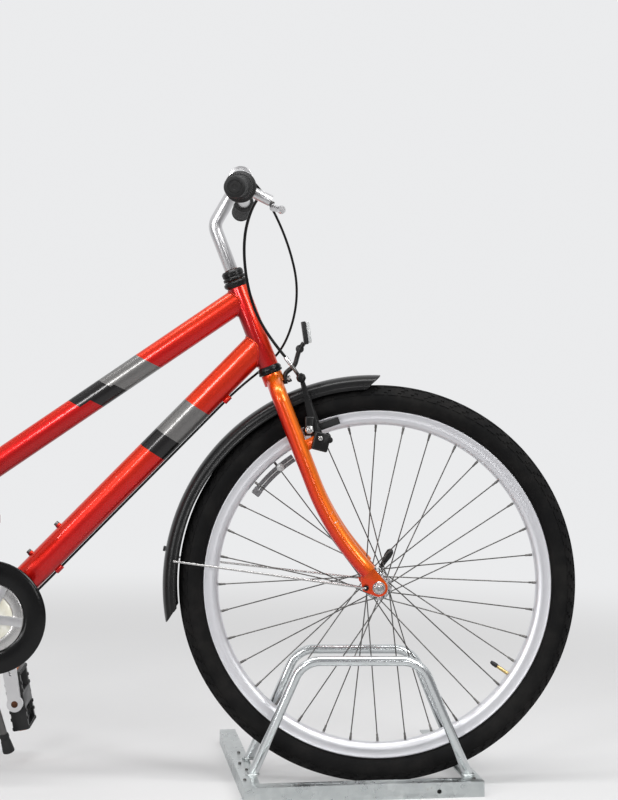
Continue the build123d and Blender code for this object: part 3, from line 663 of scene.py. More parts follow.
for name, route, radius, node, lay in (
    ("brake_housing", BRAKE_ROUTE, BRAKE_R, "front_brake_cable", "hanging"),
    ("frame_gear_housing", FRAME_ROUTE, GEAR_R, "gear_cable", "taut"),
):
    cable = housing(name, route, radius)
    length = line_of(cable)[1]
    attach(cable, BODY_OF[node])
    lay_cord(cable, node, route, length, radius, lay)

loop = housing("gear_housing_loop", LOOP_ROUTE, GEAR_R)
loop_points, loop_length = line_of(loop)
loop = smooth(as_mesh(loop), 60)
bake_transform(loop)
loop_path = [tuple(point) for point in loop_points]
lay_cord(loop, "gear_cable_loop", LOOP_ROUTE, loop_length, GEAR_R, "hanging", path=loop_path)

# %% [markdown]
# ## Moves for new parts
# Most round parts of a bicycle are turned on a lathe: a profile is drawn point by point
# with extrude and then spun about its axis. Fasteners are modelled once and copied. Faces
# are selected by where they are, as one would with a box select, and then raised.


# %% Placing, lathe and blocks
def put(piece, place):
    """Put a piece at a matrix and apply that to its mesh."""
    pick(piece)
    piece.matrix_world = place
    bpy.ops.object.transform_apply(location=True, rotation=True, scale=True)
    return piece


def facing(spot, along, turn=0.0):
    """The matrix that puts a piece made along Z at a spot, looking along a direction."""
    aim = UP.rotation_difference(Vector(along).normalized()).to_matrix().to_4x4()
    return Matrix.Translation(spot) @ aim @ Matrix.Rotation(turn, 4, "Z")


def slide(piece, x=0.0, z=0.0):
    """Move the mesh of a piece by millimetres."""
    piece.data.transform(Matrix.Translation(Vector((x, 0, z)) * MM))
    return piece


def lathe(profile, spot=ORIGIN, along=UP, steps=40, arc=360.0, closed=False, turn=0.0):
    """Draw a profile of (radius, distance) in millimetres and spin it about an axis."""
    bpy.ops.object.select_all(action="DESELECT")
    bpy.ops.mesh.primitive_plane_add(size=MM)
    piece = bpy.context.object
    edit_all(piece)
    bpy.ops.mesh.merge(type="CENTER")
    here = (0.0, 0.0)
    for index, (radius, distance) in enumerate(list(profile) + profile[:1] * closed):
        step = ((radius - here[0]) * MM, 0, (distance - here[1]) * MM)
        if index == 0:
            bpy.ops.transform.translate(value=step)
        else:
            bpy.ops.mesh.extrude_vertices_move(TRANSFORM_OT_translate={"value": step})
        here = (radius, distance)
    bpy.ops.mesh.select_all(action="SELECT")
    bpy.ops.mesh.spin(steps=steps, angle=math.radians(arc), center=(0, 0, 0), axis=(0, 0, 1))
    bpy.ops.mesh.select_all(action="SELECT")
    bpy.ops.mesh.remove_doubles(threshold=0.005 * MM)
    bpy.ops.mesh.normals_make_consistent(inside=False)
    leave_edit()
    return put(piece, facing(spot, along, turn))


def mirrored(half):
    """A half profile that ends at the middle, continued to the other side."""
    return half + [(r, -d) for r, d in reversed(half) if abs(d) > 1e-6]


def block(size, bevel, segments=2):
    """A box of (x, y, z) millimetres with rounded edges, at the origin."""
    bpy.ops.object.select_all(action="DESELECT")
    bpy.ops.mesh.primitive_cube_add(size=1)
    piece = bpy.context.object
    piece.scale = Vector(size) * MM
    bpy.ops.object.transform_apply(location=True, rotation=True, scale=True)
    return soften(piece, bevel, segments)


def cylinder(sides, radius, depth, x=0.0):
    """A plain cylinder along Z in millimetres, to be shaped further."""
    bpy.ops.object.select_all(action="DESELECT")
    bpy.ops.mesh.primitive_cylinder_add(
        vertices=sides, radius=radius * MM, depth=depth * MM, location=(x * MM, 0, 0)
    )
    return bpy.context.object


def carve(piece, cutter):
    """Cut one piece out of another and throw the cutter away."""
    modify(piece, "BOOLEAN", operation="DIFFERENCE", object=cutter, solver="EXACT")
    bpy.data.objects.remove(cutter)
    return piece


# %% Fasteners, copies and faces
def screw(radius, height):
    """A cap screw standing on the origin: rounded head with a hexagon socket."""
    piece = soften(cylinder(24, radius, height), min(radius, height) * 0.22, 3, 50)
    socket = cylinder(6, radius * 0.55, height)
    socket.location.z = height * 0.55 * MM
    return slide(carve(piece, socket), z=height * 0.5)


def nut(across, height):
    """A hexagon nut standing on the origin, with chamfered corners."""
    piece = cylinder(6, across * 0.577, height)
    edit_all(piece)
    bpy.ops.mesh.bevel(offset=height * 0.12 * MM, segments=2)
    leave_edit()
    return slide(piece, z=height * 0.5)


def repeat(piece, places):
    """Copies of a piece at these matrices, joined into one."""
    copies = []
    for place in places:
        pick(piece)
        bpy.ops.object.duplicate()
        copy = bpy.context.object
        copy.matrix_world = place
        copies.append(copy)
    bpy.data.objects.remove(piece)
    pick(copies[0], *copies[1:])
    if len(copies) > 1:
        bpy.ops.object.join()
    joined = bpy.context.object
    bpy.ops.object.transform_apply(location=True, rotation=True, scale=True)
    return joined


def both_sides(piece, x, y, z, turn=0.0):
    """The same piece on the right and on the left, each looking outwards."""
    return repeat(piece, [facing(at(x, y * side, z), (0, side, 0), turn) for side in SIDES])


def raise_faces(piece, height, wanted):
    """Extrude outwards the faces whose centre and normal pass a test, and count them."""
    pick(piece)
    bpy.ops.object.mode_set(mode="EDIT")
    bpy.ops.mesh.select_mode(type="FACE")
    bpy.ops.mesh.select_all(action="DESELECT")
    leave_edit()
    for face in piece.data.polygons:
        face.select = wanted(face.center, face.normal)
    count = sum(face.select for face in piece.data.polygons)
    bpy.ops.object.mode_set(mode="EDIT")
    bpy.ops.mesh.extrude_region_shrink_fatten(TRANSFORM_OT_shrink_fatten={"value": height * MM})
    leave_edit()
    return count


def close_ends(piece):
    """Fill the open ends of a part-turned ring and point its faces outwards."""
    edit_all(piece)
    bpy.ops.mesh.fill_holes(sides=0)
    bpy.ops.mesh.normals_make_consistent(inside=False)
    leave_edit()
    return piece


print("lathe, blocks and fasteners ready")

# %% [markdown]
# ## Tyres
# A 26 inch city tyre: smooth flanks, a bead line above the rim, and a low tread. On the
# real tyre the tread is moulded with the casing, so here the casing is spun as one ring and
# the tread faces are picked by their place and extruded outwards by a millimetre or so.

# %% Tyres
CASING = [
    (286.5, 10.5), (287.0, 13.2), (288.8, 15.4), (290.2, 15.2), (292.5, 18.7),
    (297.5, 22.4), (303.5, 24.4), (309.0, 24.7), (313.5, 23.2), (317.5, 20.6),
    (321.0, 17.0), (324.0, 12.6), (326.2, 8.0), (327.4, 4.0), (327.7, 0.0),
]
TREAD_COLUMNS = 360
TREAD_ROWS = [23.2, 20.6, 17.0, 12.6, 8.0, 4.0, 0.0]
TREAD_FROM = 314.5
TREAD_EDGE = 22.5
TREAD_DEPTH = 1.3


def is_tread(spot, hub):
    """Whether a casing face carries a tread block."""
    reach = math.hypot(spot.x - hub.x, spot.z - hub.z) / MM
    y = abs(spot.y) / MM
    if reach < TREAD_FROM or y > TREAD_EDGE:
        return False
    angle = math.degrees(math.atan2(spot.z - hub.z, spot.x - hub.x)) % 360
    column = int(angle * TREAD_COLUMNS / 360) + (4 if spot.y > 0 else 0)
    row = sum(1 for edge in TREAD_ROWS if y < edge)
    if row == 4:
        return column % 8 in (0, 1)
    if row >= 5:
        return (column + row) % 8 != 0
    return (column + row) % 4 != 0


for end, hub in HUBS:
    tyre = lathe(mirrored(CASING), hub, SIDEWAYS, steps=TREAD_COLUMNS)
    blocks = raise_faces(tyre, TREAD_DEPTH, lambda spot, normal: is_tread(spot, hub))
    hand_over(tyre, end + "_tyre_tread", "tyre_black", end + "_wheel", end + "_tyre", angle=30)
    print(end, "tyre:", blocks, "tread faces,", len(tyre.data.polygons), "faces")

# %% [markdown]
# ## Rims, spokes and hubs
# The rim is a hollow section rolled into a hoop, with a flat braking track on each side.
# Thirty-six spokes cross three by three. Each ends in a nipple at the rim and in a bent
# head at the hub. The valve comes through the rim between two spokes.

# %% Rims, nipples, hubs, valves
RIM = [
    (279.5, 0.0), (280.0, 8.0), (284.0, 11.2), (288.4, 11.8), (289.0, 12.6),
    (288.4, 13.4), (285.6, 13.6), (284.9, 13.2), (275.4, 12.8), (274.6, 13.0),
    (271.8, 12.7), (268.2, 10.9), (264.8, 7.8), (263.4, 4.2), (263.0, 0.0),
]
NIPPLE = [(0.0, 0.0), (2.1, 0.0), (2.1, 5.0), (1.7, 6.0), (1.7, 11.0), (1.2, 12.0), (0.0, 12.0)]
SPOKE_HEAD = [(0, 0), (2.3, 0), (2.3, 0.8), (1.6, 1.7), (0, 2.0)]
SPOKE_ELBOW = [(0, 0), (1.15, 0), (1.15, 4.4), (0.8, 5.2), (0, 5.4)]
FRONT_SHELL = [
    (5.2, 46.0), (9.0, 46.0), (10.6, 44.6), (11.0, 40.0), (12.4, 37.4), (21.6, 36.9), (22.5, 36.0),
    (22.5, 34.0), (21.6, 33.1), (17.0, 32.6), (14.6, 29.5), (12.6, 23.0), (11.8, 12.0), (11.6, 0.0),
]
REAR_SHELL = [
    (5.2, 41.0), (20.6, 41.0), (22.0, 40.2), (24.0, 36.0), (30.4, 29.4), (40.0, 28.8), (41.0, 27.8),
    (41.0, 26.2), (40.0, 25.2), (34.6, 24.8), (33.0, 22.0), (31.6, 10.0), (31.4, 0.0),
]
VALVE = [(0.0, 0.0), (3.1, 0.0), (3.1, 3.0), (2.9, 3.4), (2.9, 20.0), (2.2, 20.6), (0.0, 20.6)]
CAP = [(0.0, 20.0), (3.5, 20.0), (3.7, 21.0), (3.7, 27.0), (3.2, 30.0), (2.4, 32.6), (0.0, 33.0)]
VALVE_DEG = -34.6
VALVE_SEAT = 262.5
SPOKE_TIP = 262.6
FLANGE_HALF = 1.6


def spoke_lines(hub, flange, pitch):
    """The two ends of every spoke, and which side of the flange its head is on."""
    for side in SIDES:
        for k in range(18):
            outer = k % 2
            at_hub = 0.3 + 20 * k + (10 if side > 0 else 0)
            at_rim = at_hub + (-60 if outer else 60)
            root = around(hub, at_hub, pitch, side * (flange + (4.8 if outer else -2.9)))
            yield root, around(hub, at_rim, SPOKE_TIP, side * 3.2), side, outer


for (end, hub), flange, pitch, shell in zip(HUBS, (35.0, 27.0), (19.0, 37.0), (FRONT_SHELL, REAR_SHELL)):
    body = end + "_wheel"
    rim = lathe(mirrored(RIM), hub, SIDEWAYS, steps=180, closed=True)
    hand_over(rim, end + "_rim_hoop", "rim_alloy", body, end + "_rim", angle=30)
    nipples, heads, elbows = [], [], []
    for root, tip, side, outer in spoke_lines(hub, flange, pitch):
        out = side if outer else -side
        inside = side * (flange - FLANGE_HALF if outer else flange + FLANGE_HALF) * MM
        nipples.append(facing(tip, root - tip))
        heads.append(facing(Vector((root.x, inside, root.z)), (0, -out, 0)))
        elbows.append(facing(Vector((root.x, side * flange * MM, root.z)), (0, out, 0)))
    # The nipples are silver; the dark steel finish on them is a painted shade.
    hand_over(repeat(lathe(NIPPLE, steps=10), nipples), end + "_nipples", "dark_steel", body)
    hand_over(repeat(lathe(SPOKE_HEAD, steps=10), heads), end + "_spoke_heads", "bright_steel", body)
    hand_over(repeat(lathe(SPOKE_ELBOW, steps=8), elbows), end + "_spoke_elbows", "spoke_steel", body)
    hub_shell = lathe(mirrored(shell), hub, SIDEWAYS, steps=64)
    hand_over(hub_shell, end + "_hub_shell", "satin_alloy", body, end + "_hub", angle=30)
    seat = around(hub, VALVE_DEG, VALVE_SEAT)
    hand_over(lathe(VALVE, seat, hub - seat, steps=16), end + "_valve", "brass", body, angle=35)
    hand_over(lathe(CAP, seat, hub - seat, steps=16), end + "_valve_cap", "moulded_black", body, angle=35)
print("wheels done,", len(MADE), "pieces so far")

# %% [markdown]
# ## Headset and grips
# The headset is a stack of black steel rings: a cup pressed into each end of the head tube
# and a locknut above. The grips are rubber with closed ends, and the right one is short
# because the twist shifter sits inside it, with ridges for the fingers.

# %% Headset
HEAD_TOP = steer(0, 0, 542)
CROWN_RACE = steer(0, 0, 388)
UPPER_CUP = [
    (13.2, 0.2), (17.2, 0.0), (17.6, 0.8), (20.4, 3.4), (21.2, 5.0),
    (21.2, 8.4), (20.2, 9.8), (18.4, 10.2), (18.4, 11.6), (13.2, 11.9),
]
LOWER_CUP = [
    (13.2, 0.5), (18.8, 0.5), (20.2, 1.6), (20.2, 4.2), (19.2, 5.0),
    (19.2, 5.8), (20.2, 6.8), (19.8, 9.2), (17.6, 12.6), (13.2, 13.0),
]
LOCKNUT = [
    (12.8, 12.5), (18.2, 12.5), (19.2, 13.6), (19.2, 16.6), (18.4, 17.6), (17.0, 18.0),
    (17.0, 19.2), (18.2, 20.0), (18.2, 26.0), (17.2, 27.6), (15.6, 29.6), (12.8, 30.0),
]
for name, profile, spot, node in (
    ("upper_headset_cup", UPPER_CUP, HEAD_TOP, "headset_cups"),
    ("lower_headset_cup", LOWER_CUP, CROWN_RACE, "headset_cups"),
    ("headset_rings", LOCKNUT, HEAD_TOP, "headset_locknut"),
):
    ring = lathe(profile, spot, AXIS_UP, steps=56, closed=True)
    hand_over(ring, name, "enamel_black", BODY_OF[node], node, angle=30)
print("headset rings done")

# %% Grips and shifter
RIGHT_END, RIGHT_BEND = at(-230, -290, 964), at(-223, -165, 974)
LEFT_END, LEFT_BEND = at(-230, 290, 964), at(-223, 165, 974)
GRIP_END = [
    (0, 2.0), (0, -4.4), (3.6, -4.4), (4.2, -5.0), (8.6, -5.0), (9.2, -4.4), (10.4, -4.4),
    (11.0, -5.0), (13.2, -5.0), (15.8, -3.4), (17.0, -0.8), (17.0, 3.6), (15.8, 5.6), (14.9, 7.0),
]
TWIST = [
    (11.3, 79.2), (17.0, 79.2), (18.2, 80.6), (19.0, 82.6), (19.4, 84.6), (19.4, 104.6), (20.6, 106.6),
    (24.2, 109.2), (25.0, 111.4), (25.0, 116.6), (24.2, 118.2), (20.2, 120.4), (18.8, 121.8), (11.3, 122.0),
]
TWIST_FROM, TWIST_TO = 84.6 * MM, 104.6 * MM
RIDGES = 36
RIDGE_HEIGHT = 1.1
RIB_PITCH = 4.6


def grip_profile(length):
    """A ribbed rubber grip with a flanged end and a ringed end face."""
    points = list(GRIP_END)
    distance = 8.0
    while distance < length - 11.0:
        swell = 0.9 * math.sin(math.pi * distance / length)
        points += [(14.6 + swell, distance), (15.5 + swell, distance + 0.9)]
        points += [(15.5 + swell, distance + 2.6), (14.6 + swell, distance + 3.5)]
        distance += RIB_PITCH
    for radius, before in ((14.6, 6.4), (16.6, 5.0), (17.5, 3.6), (17.5, 0.9), (16.9, 0.0), (11.3, 0.0)):
        points.append((radius, length - before))
    return points + [(11.3, 2.0)]


def is_ridge(spot, normal):
    """Whether a face of the shifter, still standing on the origin, is raised for the fingers."""
    turn = math.degrees(math.atan2(spot.y, spot.x)) % 360
    outside = math.hypot(spot.x, spot.y) > 18 * MM
    return TWIST_FROM < spot.z < TWIST_TO and outside and int(turn * RIDGES / 180) % 2 == 0


for name, end, bend, length in (
    ("grip_right", RIGHT_END, RIGHT_BEND, 78.0),
    ("grip_left", LEFT_END, LEFT_BEND, 118.0),
):
    grip = lathe(grip_profile(length), end, bend - end, steps=44)
    hand_over(grip, name, "grip_black", "steering", "grips", angle=32)
shifter = lathe(TWIST, steps=RIDGES * 2, closed=True)
ridged = raise_faces(shifter, RIDGE_HEIGHT, is_ridge)
put(shifter, facing(RIGHT_END, RIGHT_BEND - RIGHT_END))
hand_over(shifter, "shifter_ring", "grip_black", "steering", "twist_shifter", angle=30)
print("shifter ridges:", ridged)

# %% [markdown]
# ## Mudguards
# A mudguard is one long strip of plastic with a rounded crown, a ridge near each edge and
# ends cut at a slant, so the crown reaches further than the sides. The strip is spun over
# part of a turn, its ends are slid along the arc, and Solidify gives it its wall.

# %% Mudguards
GUARD_REACH = 349.0
GUARD_SIDE = 326.0
GUARD = [
    (GUARD_SIDE, 29.0), (327.6, 29.0), (331.0, 28.4), (332.2, 27.2), (333.6, 27.4), (338.8, 26.7),
    (342.8, 23.6), (346.6, 17.0), (348.4, 10.0), (349.0, 4.0), (GUARD_REACH, 0.0),
]
GUARD_SHIFT = Vector((-6.6, 0, -3.3)) * MM
GUARD_WALL = 2.0
SLANT_DEG = 4.0
SLANT_OVER = 14
for (end, hub), (first, last) in zip(HUBS, ((88.0, 190.0), (5.0, 203.0))):
    middle = hub + GUARD_SHIFT
    arc = last - first
    strip = lathe(mirrored(GUARD), middle, SIDEWAYS, steps=int(arc), arc=arc, turn=-math.radians(first))
    for vertex in strip.data.vertices:
        x, z = vertex.co.x - middle.x, vertex.co.z - middle.z
        reach, angle = math.hypot(x, z) / MM, math.degrees(math.atan2(z, x)) % 360
        slant = SLANT_DEG * (GUARD_REACH - reach) / (GUARD_REACH - GUARD_SIDE)
        angle += slant * max(0.0, 1 - (angle - first) / SLANT_OVER)
        angle -= slant * max(0.0, 1 - (last - angle) / SLANT_OVER)
        vertex.co = around(middle, angle, reach, vertex.co.y / MM)
    modify(strip, "SOLIDIFY", thickness=GUARD_WALL * MM, offset=-1.0)
    soften(strip, 0.5, 2, 50)
    node = end + "_mudguard"
    hand_over(strip, end + "_guard_strip", "guard_black", BODY_OF[node], node)
    print(end, "guard", [round(c / MM) for c in strip.dimensions])

# %% [markdown]
# ## Front brake
# Two long arms hang on bosses of the fork and press the shoes on the rim. The cable comes
# down through a bent tube, is held in a clamp on top of the near arm and crosses to the far
# arm inside a rubber bellows. Bolts hold the arms, the shoes and the cable.

# %% Brake arms
ARM_FOOT, ARM_HEIGHT = 572, 99
ARM_SLIM = 0.52
TUBE_ABOVE = 0.69
whole = soften(merged_copy("front_brake_arms"), 1.6, 3)
edit_all(whole)
bpy.ops.mesh.separate(type="LOOSE")
leave_edit()
for index, piece in enumerate(list(bpy.context.selected_objects)):
    if max(vertex.co.z for vertex in piece.data.vertices) > TUBE_ABOVE:
        name, finish = "cable_tube", "dark_steel"
    else:
        name, finish = "brake_arm_" + str(index), "enamel_black"
        for vertex in piece.data.vertices:
            z = vertex.co.z / MM
            middle = at(-99 - 27.5 * (z - ARM_FOOT) / ARM_HEIGHT, 0, 0).x
            slim = ARM_SLIM * min(max((z - 578) / 34, 0.0), 1.0)
            vertex.co.x += (middle - vertex.co.x) * slim
    hand_over(piece, name, finish, "steering", "front_brake_arms", slot="black_plastic", angle=32)
print("brake arms done")

# %% Brake fittings
CUPPED = [(3.0, 0), (5.8, 0), (6.6, 1.0), (6.6, 2.0), (5.0, 3.0), (5.8, 3.4), (5.8, 4.6), (3.0, 4.8)]
FERRULE = [(0, -1), (2.9, -1), (3.5, 0), (3.5, 12), (3.0, 12.6), (3.0, 15), (2.2, 16), (0, 16)]
COLLAR = [(0, 0), (4.4, 0), (5.2, 1.0), (5.2, 4.4), (4.0, 5.6), (0, 5.8)]
CLAMP_RINGS = mirrored([(0, -9), (6.4, -9), (8.2, -6), (8.2, -2), (7.0, -1)])
BELLOWS = [(2.6, -6)]
for fold in range(7):
    BELLOWS += [(5.0 - fold * 0.15, -5.0 + 5.4 * fold), (3.3, -2.3 + 5.4 * fold)]
BELLOWS += [(2.4, 34.0)]
pivot_spots = [Matrix.Translation(at(-94, 54 * side, 567)) @ Matrix.Rotation(0.25, 4, "Y") for side in SIDES]
holder_spots = [Matrix.Translation(at(-112, 41 * side, 592)) for side in SIDES]
ferrule_way = at(-131, -30, 676) - at(-150, -30, 702)
clamp_spot = at(-126.5, -39, 671)
for name, finish, angle, piece in (
    ("brake_pivot_blocks", "enamel_black", 40, repeat(block((27, 6.4, 30), 3.1, 4), pivot_spots)),
    ("shoe_holders", "enamel_black", 40, repeat(block((18, 8.0, 32), 3.9, 4), holder_spots)),
    ("brake_pivot_bolts", "bright_steel", 40, both_sides(screw(4.0, 3.4), -95, 57, 573)),
    ("shoe_nuts", "bright_steel", 30, both_sides(nut(8, 5), -113, 48.4, 586, 0.4)),
    ("shoe_washers", "bright_steel", 30, both_sides(lathe(CUPPED, steps=28, closed=True), -113, 44.2, 586)),
    ("cable_anchor_bolt", "bright_steel", 40, put(screw(4.2, 4.5), facing(at(-114, 43.4, 642), SIDEWAYS))),
    ("cable_ferrule", "satin_alloy", 35, lathe(FERRULE, at(-151.5, -30.3, 704), ferrule_way, steps=20)),
    ("spring_collars", "enamel_black", 35, both_sides(lathe(COLLAR, steps=20), -80, 51.4, 570)),
    ("cable_clamp", "enamel_black", 30, soften(lathe(CLAMP_RINGS, clamp_spot, SIDEWAYS, steps=8), 0.6)),
    ("brake_bellows", "grip_black", 60, lathe(BELLOWS, at(-126.5, 0, 668), SIDEWAYS, steps=24)),
):
    hand_over(piece, name, finish, "steering", angle=angle)
print("brake done,", len(MADE), "pieces")

# %% [markdown]
# ## Reflectors
# The front reflector is a black tray with a clear face, on a bent strip from the fork crown
# with a knuckle half way up. The red one at the back is the same thing in red. Between the
# spokes of each wheel sits a ribbed bar with a bright line, held by a round clip.


# %% Tray reflectors
def tray(size, lens_finish, name, place, node):
    """A reflector: black tray open to +X with a lens set into it."""
    deep, wide, tall = size
    back = slide(block((deep * 0.55, wide, tall), 1.4, 3), x=deep * -0.22)
    lens = slide(block((deep * 0.45, wide - 3.0, tall - 3.0), 1.2, 3), x=deep * 0.27)
    hand_over(put(back, place), name + "_tray", "moulded_black", BODY_OF[node], node)
    hand_over(put(lens, place), name + "_lens", lens_finish, BODY_OF[node], node)


TAIL_DEG = 158
KNUCKLE = [(0, -7), (5, -7), (6.8, -5.8), (6.8, 5.8), (5, 7), (0, 7)]
ARM_ROUTE = [
    at(-121, 0, 728),
    at(-128, 0, 719),
    at(-132, 0, 706),
    at(-136, 0, 690),
    at(-146, 0, 683),
    at(-154, 0, 675),
    at(-151.5, 0, 660),
]
ARM_WIDER = 1.9
front_place = Matrix.Translation(at(-117, 0, 745)) @ Matrix.Rotation(math.radians(-8), 4, "Y")
tray((13, 62, 38), "clear_prisms", "front_mirror", front_place, "front_reflector")
tail = around(REAR_HUB + GUARD_SHIFT, TAIL_DEG, 354.2)
tail_place = Matrix.Translation(tail) @ Matrix.Rotation(math.radians(360 - TAIL_DEG), 4, "Y")
tray((11, 40, 60), "red_prisms", "rear_mirror", tail_place, "rear_reflector")
knuckle = lathe(KNUCKLE, at(-128, 0, 718), SIDEWAYS, steps=28)
hand_over(knuckle, "bracket_knuckle", "moulded_black", "steering", angle=35)
strut = as_mesh(housing("reflector_arm", ARM_ROUTE, 4.0))
for vertex in strut.data.vertices:
    vertex.co.y *= ARM_WIDER
hand_over(strut, "reflector_arm", "moulded_black", "steering", "reflector_bracket", angle=60)
crown_bolt = put(nut(11, 7), facing(steer(21.0, 0, 369), AXIS_AHEAD))
hand_over(crown_bolt, "crown_bolt", "bright_steel", "steering", angle=30)
print("tray reflectors done")

# %% Spoke reflectors
GLINT = [
    (243.6, 4.0), (244.4, 4.8), (248.6, 4.8), (249.2, 3.4),
    (251.2, 3.4), (251.8, 4.8), (256.2, 4.8), (257.0, 4.0),
]
LINE = mirrored([(249.4, 5.2), (251.0, 5.2)])
KNOB = [(0, -7.0), (4.2, -7.0), (6.2, -5.6), (7.2, -3.0), (7.2, 3.0), (6.2, 5.6), (4.2, 7.0), (0, 7.0)]
GLINT_FIRST, GLINT_LAST = 123.6, 143.8
GLINT_ARC = GLINT_LAST - GLINT_FIRST
GLINT_MIDDLE = 250.3
KNOB_DEG = 129.7
END_DEG = 142.6
RIBS = 44


def is_rib(spot, normal, hub):
    """Whether a face on a flank of the bar is one of its raised ribs."""
    degrees = math.degrees(math.atan2(spot.z - hub.z, spot.x - hub.x))
    flank = abs(normal.y) > 0.9 and abs(spot.y) > 4.4 * MM
    return flank and int((degrees - GLINT_FIRST) / GLINT_ARC * RIBS) % 2 == 0


for end, hub in HUBS:
    body = end + "_wheel"
    arc = {"arc": GLINT_ARC, "closed": True, "turn": -math.radians(GLINT_FIRST)}
    bar = close_ends(lathe(mirrored(GLINT), hub, SIDEWAYS, steps=RIBS, **arc))
    raise_faces(bar, 0.7, lambda spot, normal: is_rib(spot, normal, hub))
    hand_over(bar, end + "_glint_bar", "grey_prisms", body, end + "_spoke_reflector", angle=30)
    line = close_ends(lathe(LINE, hub, SIDEWAYS, steps=24, **arc))
    hand_over(line, end + "_glint_line", "clear_prisms", body, angle=30)
    knob = lathe(KNOB, around(hub, KNOB_DEG, GLINT_MIDDLE), SIDEWAYS, steps=24)
    hand_over(knob, end + "_glint_knobs", "clear_prisms", body)
    turn = Matrix.Rotation(math.radians(90 - END_DEG), 4, "Y")
    end_place = Matrix.Translation(around(hub, END_DEG, GLINT_MIDDLE)) @ turn
    end_cap = put(block((12.5, 11.4, 15.0), 2.0, 3), end_place)
    hand_over(end_cap, end + "_glint_end", "grey_prisms", body)
print("reflectors done,", len(MADE), "pieces")

# %% [markdown]
# ## Welds
# Where two tubes meet there is a bead of weld. It follows the line in which the oval tube
# runs into the round one, so each point is found by going along the tube's own skin until
# it touches the round tube. The bead swells and shrinks a little with each dab.


# %% Weld beads
def bead_line(post, post_way, post_r, root, way, tall, wide, count=72):
    """The closed line where an oval tube that starts inside a post comes out of it."""
    upright = way.cross(SIDEWAYS).normalized()
    flat_way = way - post_way * way.dot(post_way)
    square = flat_way.dot(flat_way)
    points = []
    for k in range(count):
        a = 2 * math.pi * k / count
        skin = root + (upright * tall * math.cos(a) + SIDEWAYS * wide * math.sin(a)) * MM
        offset = (skin - post) - post_way * (skin - post).dot(post_way)
        half = flat_way.dot(offset)
        inside = half * half - square * (offset.dot(offset) - (post_r * MM) ** 2)
        if inside > 0:
            points.append(skin + way * ((-half + math.sqrt(inside)) / square))
    return points


def bead(name, points, radius, finish):
    """A lumpy closed bead of weld along a line of points on the frame."""
    curve, spline = tube_through(points, radius, "POLY", 2)
    for k, point in enumerate(spline.points):
        point.radius = 0.86 + 0.28 * (k % 3 == 0)
    spline.use_cyclic_u = True
    return hand_over(as_mesh(curve), name, finish, "frame", angle=70)


SEAT_R = 16.0
HEAD_POST = (steer(0, 0, 470), AXIS_UP, 17.0)
SEAT_POST = (CRANK_AXLE, SEAT_WAY, SEAT_R)
SHELL = (CRANK_AXLE, SIDEWAYS, 20.5)
for name, finish, *meeting in (
    ("weld_head_top", "paint_top_tube", *HEAD_POST, TOP_HEAD, TOP_ALONG, TOP_TALL, 16.2),
    ("weld_head_down", "paint_down_tube", *HEAD_POST, DOWN_TOP, DOWN_ALONG, DOWN_TALL, 16.3),
    ("weld_seat_top", "paint", *SEAT_POST, TOP_SEAT, -TOP_ALONG, TOP_TALL, 15.2),
    ("weld_shell_down", "paint", *SHELL, CRANK_AXLE, -DOWN_ALONG, 20.0, 21.9),
    ("weld_shell_seat", "paint", *SHELL, CRANK_AXLE, SEAT_WAY, SEAT_R, SEAT_R),
):
    bead(name, bead_line(*meeting), 1.7, finish)
print("welds done")

# %% [markdown]
# ## Axles, nuts and the lever at the hub
# Each axle is a threaded rod with cone nuts inside the fork ends and hexagon nuts with
# washers outside. On the far side of the front hub sits a black two-lobed lever.

# %% Axles
WASHER = [(5, 0), (10.5, 0), (10.5, 1.2), (9.9, 1.8), (5, 1.8)]
LOBES = [
    (0, -2), (5.0, -2), (6.2, 2), (4.4, 12), (3.4, 22),
    (4.8, 34), (6.6, 44), (6.0, 52), (3.0, 56), (0, 57),
]
LOBE_FLAT = 0.62
GUARD_SCREW_DEG = 170
for (end, hub), (half, inner, outer, cone) in zip(HUBS, ((66.0, 50.0, 56.0, 46.6), (84.0, 60.0, 66.0, 50.0))):
    body = BODY_OF[end + "_axle"]
    rod = [(0, half), (3.6, half), (5.0, half - 1.6)]
    thread = half - 2.6
    while thread > outer + 10.5:
        rod += [(4.5, thread), (5.0, thread - 0.5)]
        thread -= 1.0
    rod += [(5.0, inner), (8.5, inner), (8.5, cone + 1.4), (7.4, cone), (5.0, cone), (5.0, 0)]
    axle = lathe(mirrored(rod), hub, SIDEWAYS, steps=32)
    hand_over(axle, end + "_axle_rod", "bright_steel", body, end + "_axle")
    spots = [facing(hub + SIDEWAYS * side * outer * MM, (0, side, 0)) for side in SIDES]
    washers = repeat(lathe(WASHER, steps=32, closed=True), spots)
    hand_over(washers, end + "_axle_washers", "bright_steel", body, angle=35)
    spots = [facing(hub + SIDEWAYS * side * (outer + 1.6) * MM, (0, side, 0), 0.3) for side in SIDES]
    hand_over(repeat(nut(15, 7.4), spots), end + "_axle_nuts", "bright_steel", body, angle=30)
lever = lathe(LOBES, steps=20)
for vertex in lever.data.vertices:
    vertex.co.y *= LOBE_FLAT
put(lever, facing(FRONT_HUB + SIDEWAYS * 67 * MM, (28, 2, 46)))
hand_over(lever, "hub_lever", "moulded_black", "steering", "front_axle", angle=50)
hand_over(both_sides(screw(4.6, 4.0), -21, 56, 329), "eyelet_screws", "enamel_black", "steering")
guard_middle = FRONT_HUB + GUARD_SHIFT
crown = around(guard_middle, GUARD_SCREW_DEG, 349.4)
guard_screw = put(screw(4.5, 4.0), facing(crown, crown - guard_middle))
hand_over(guard_screw, "guard_screw", "moulded_black", "steering")
print("axles done,", len(MADE), "pieces")

# %% [markdown]
# ## Handlebar fittings
# The lever hangs on a screw, the cable leaves it through a knurled adjuster, and the stem
# pinches the bar with a bolt below its clamp. Two bottle bolts sit on the down tube.

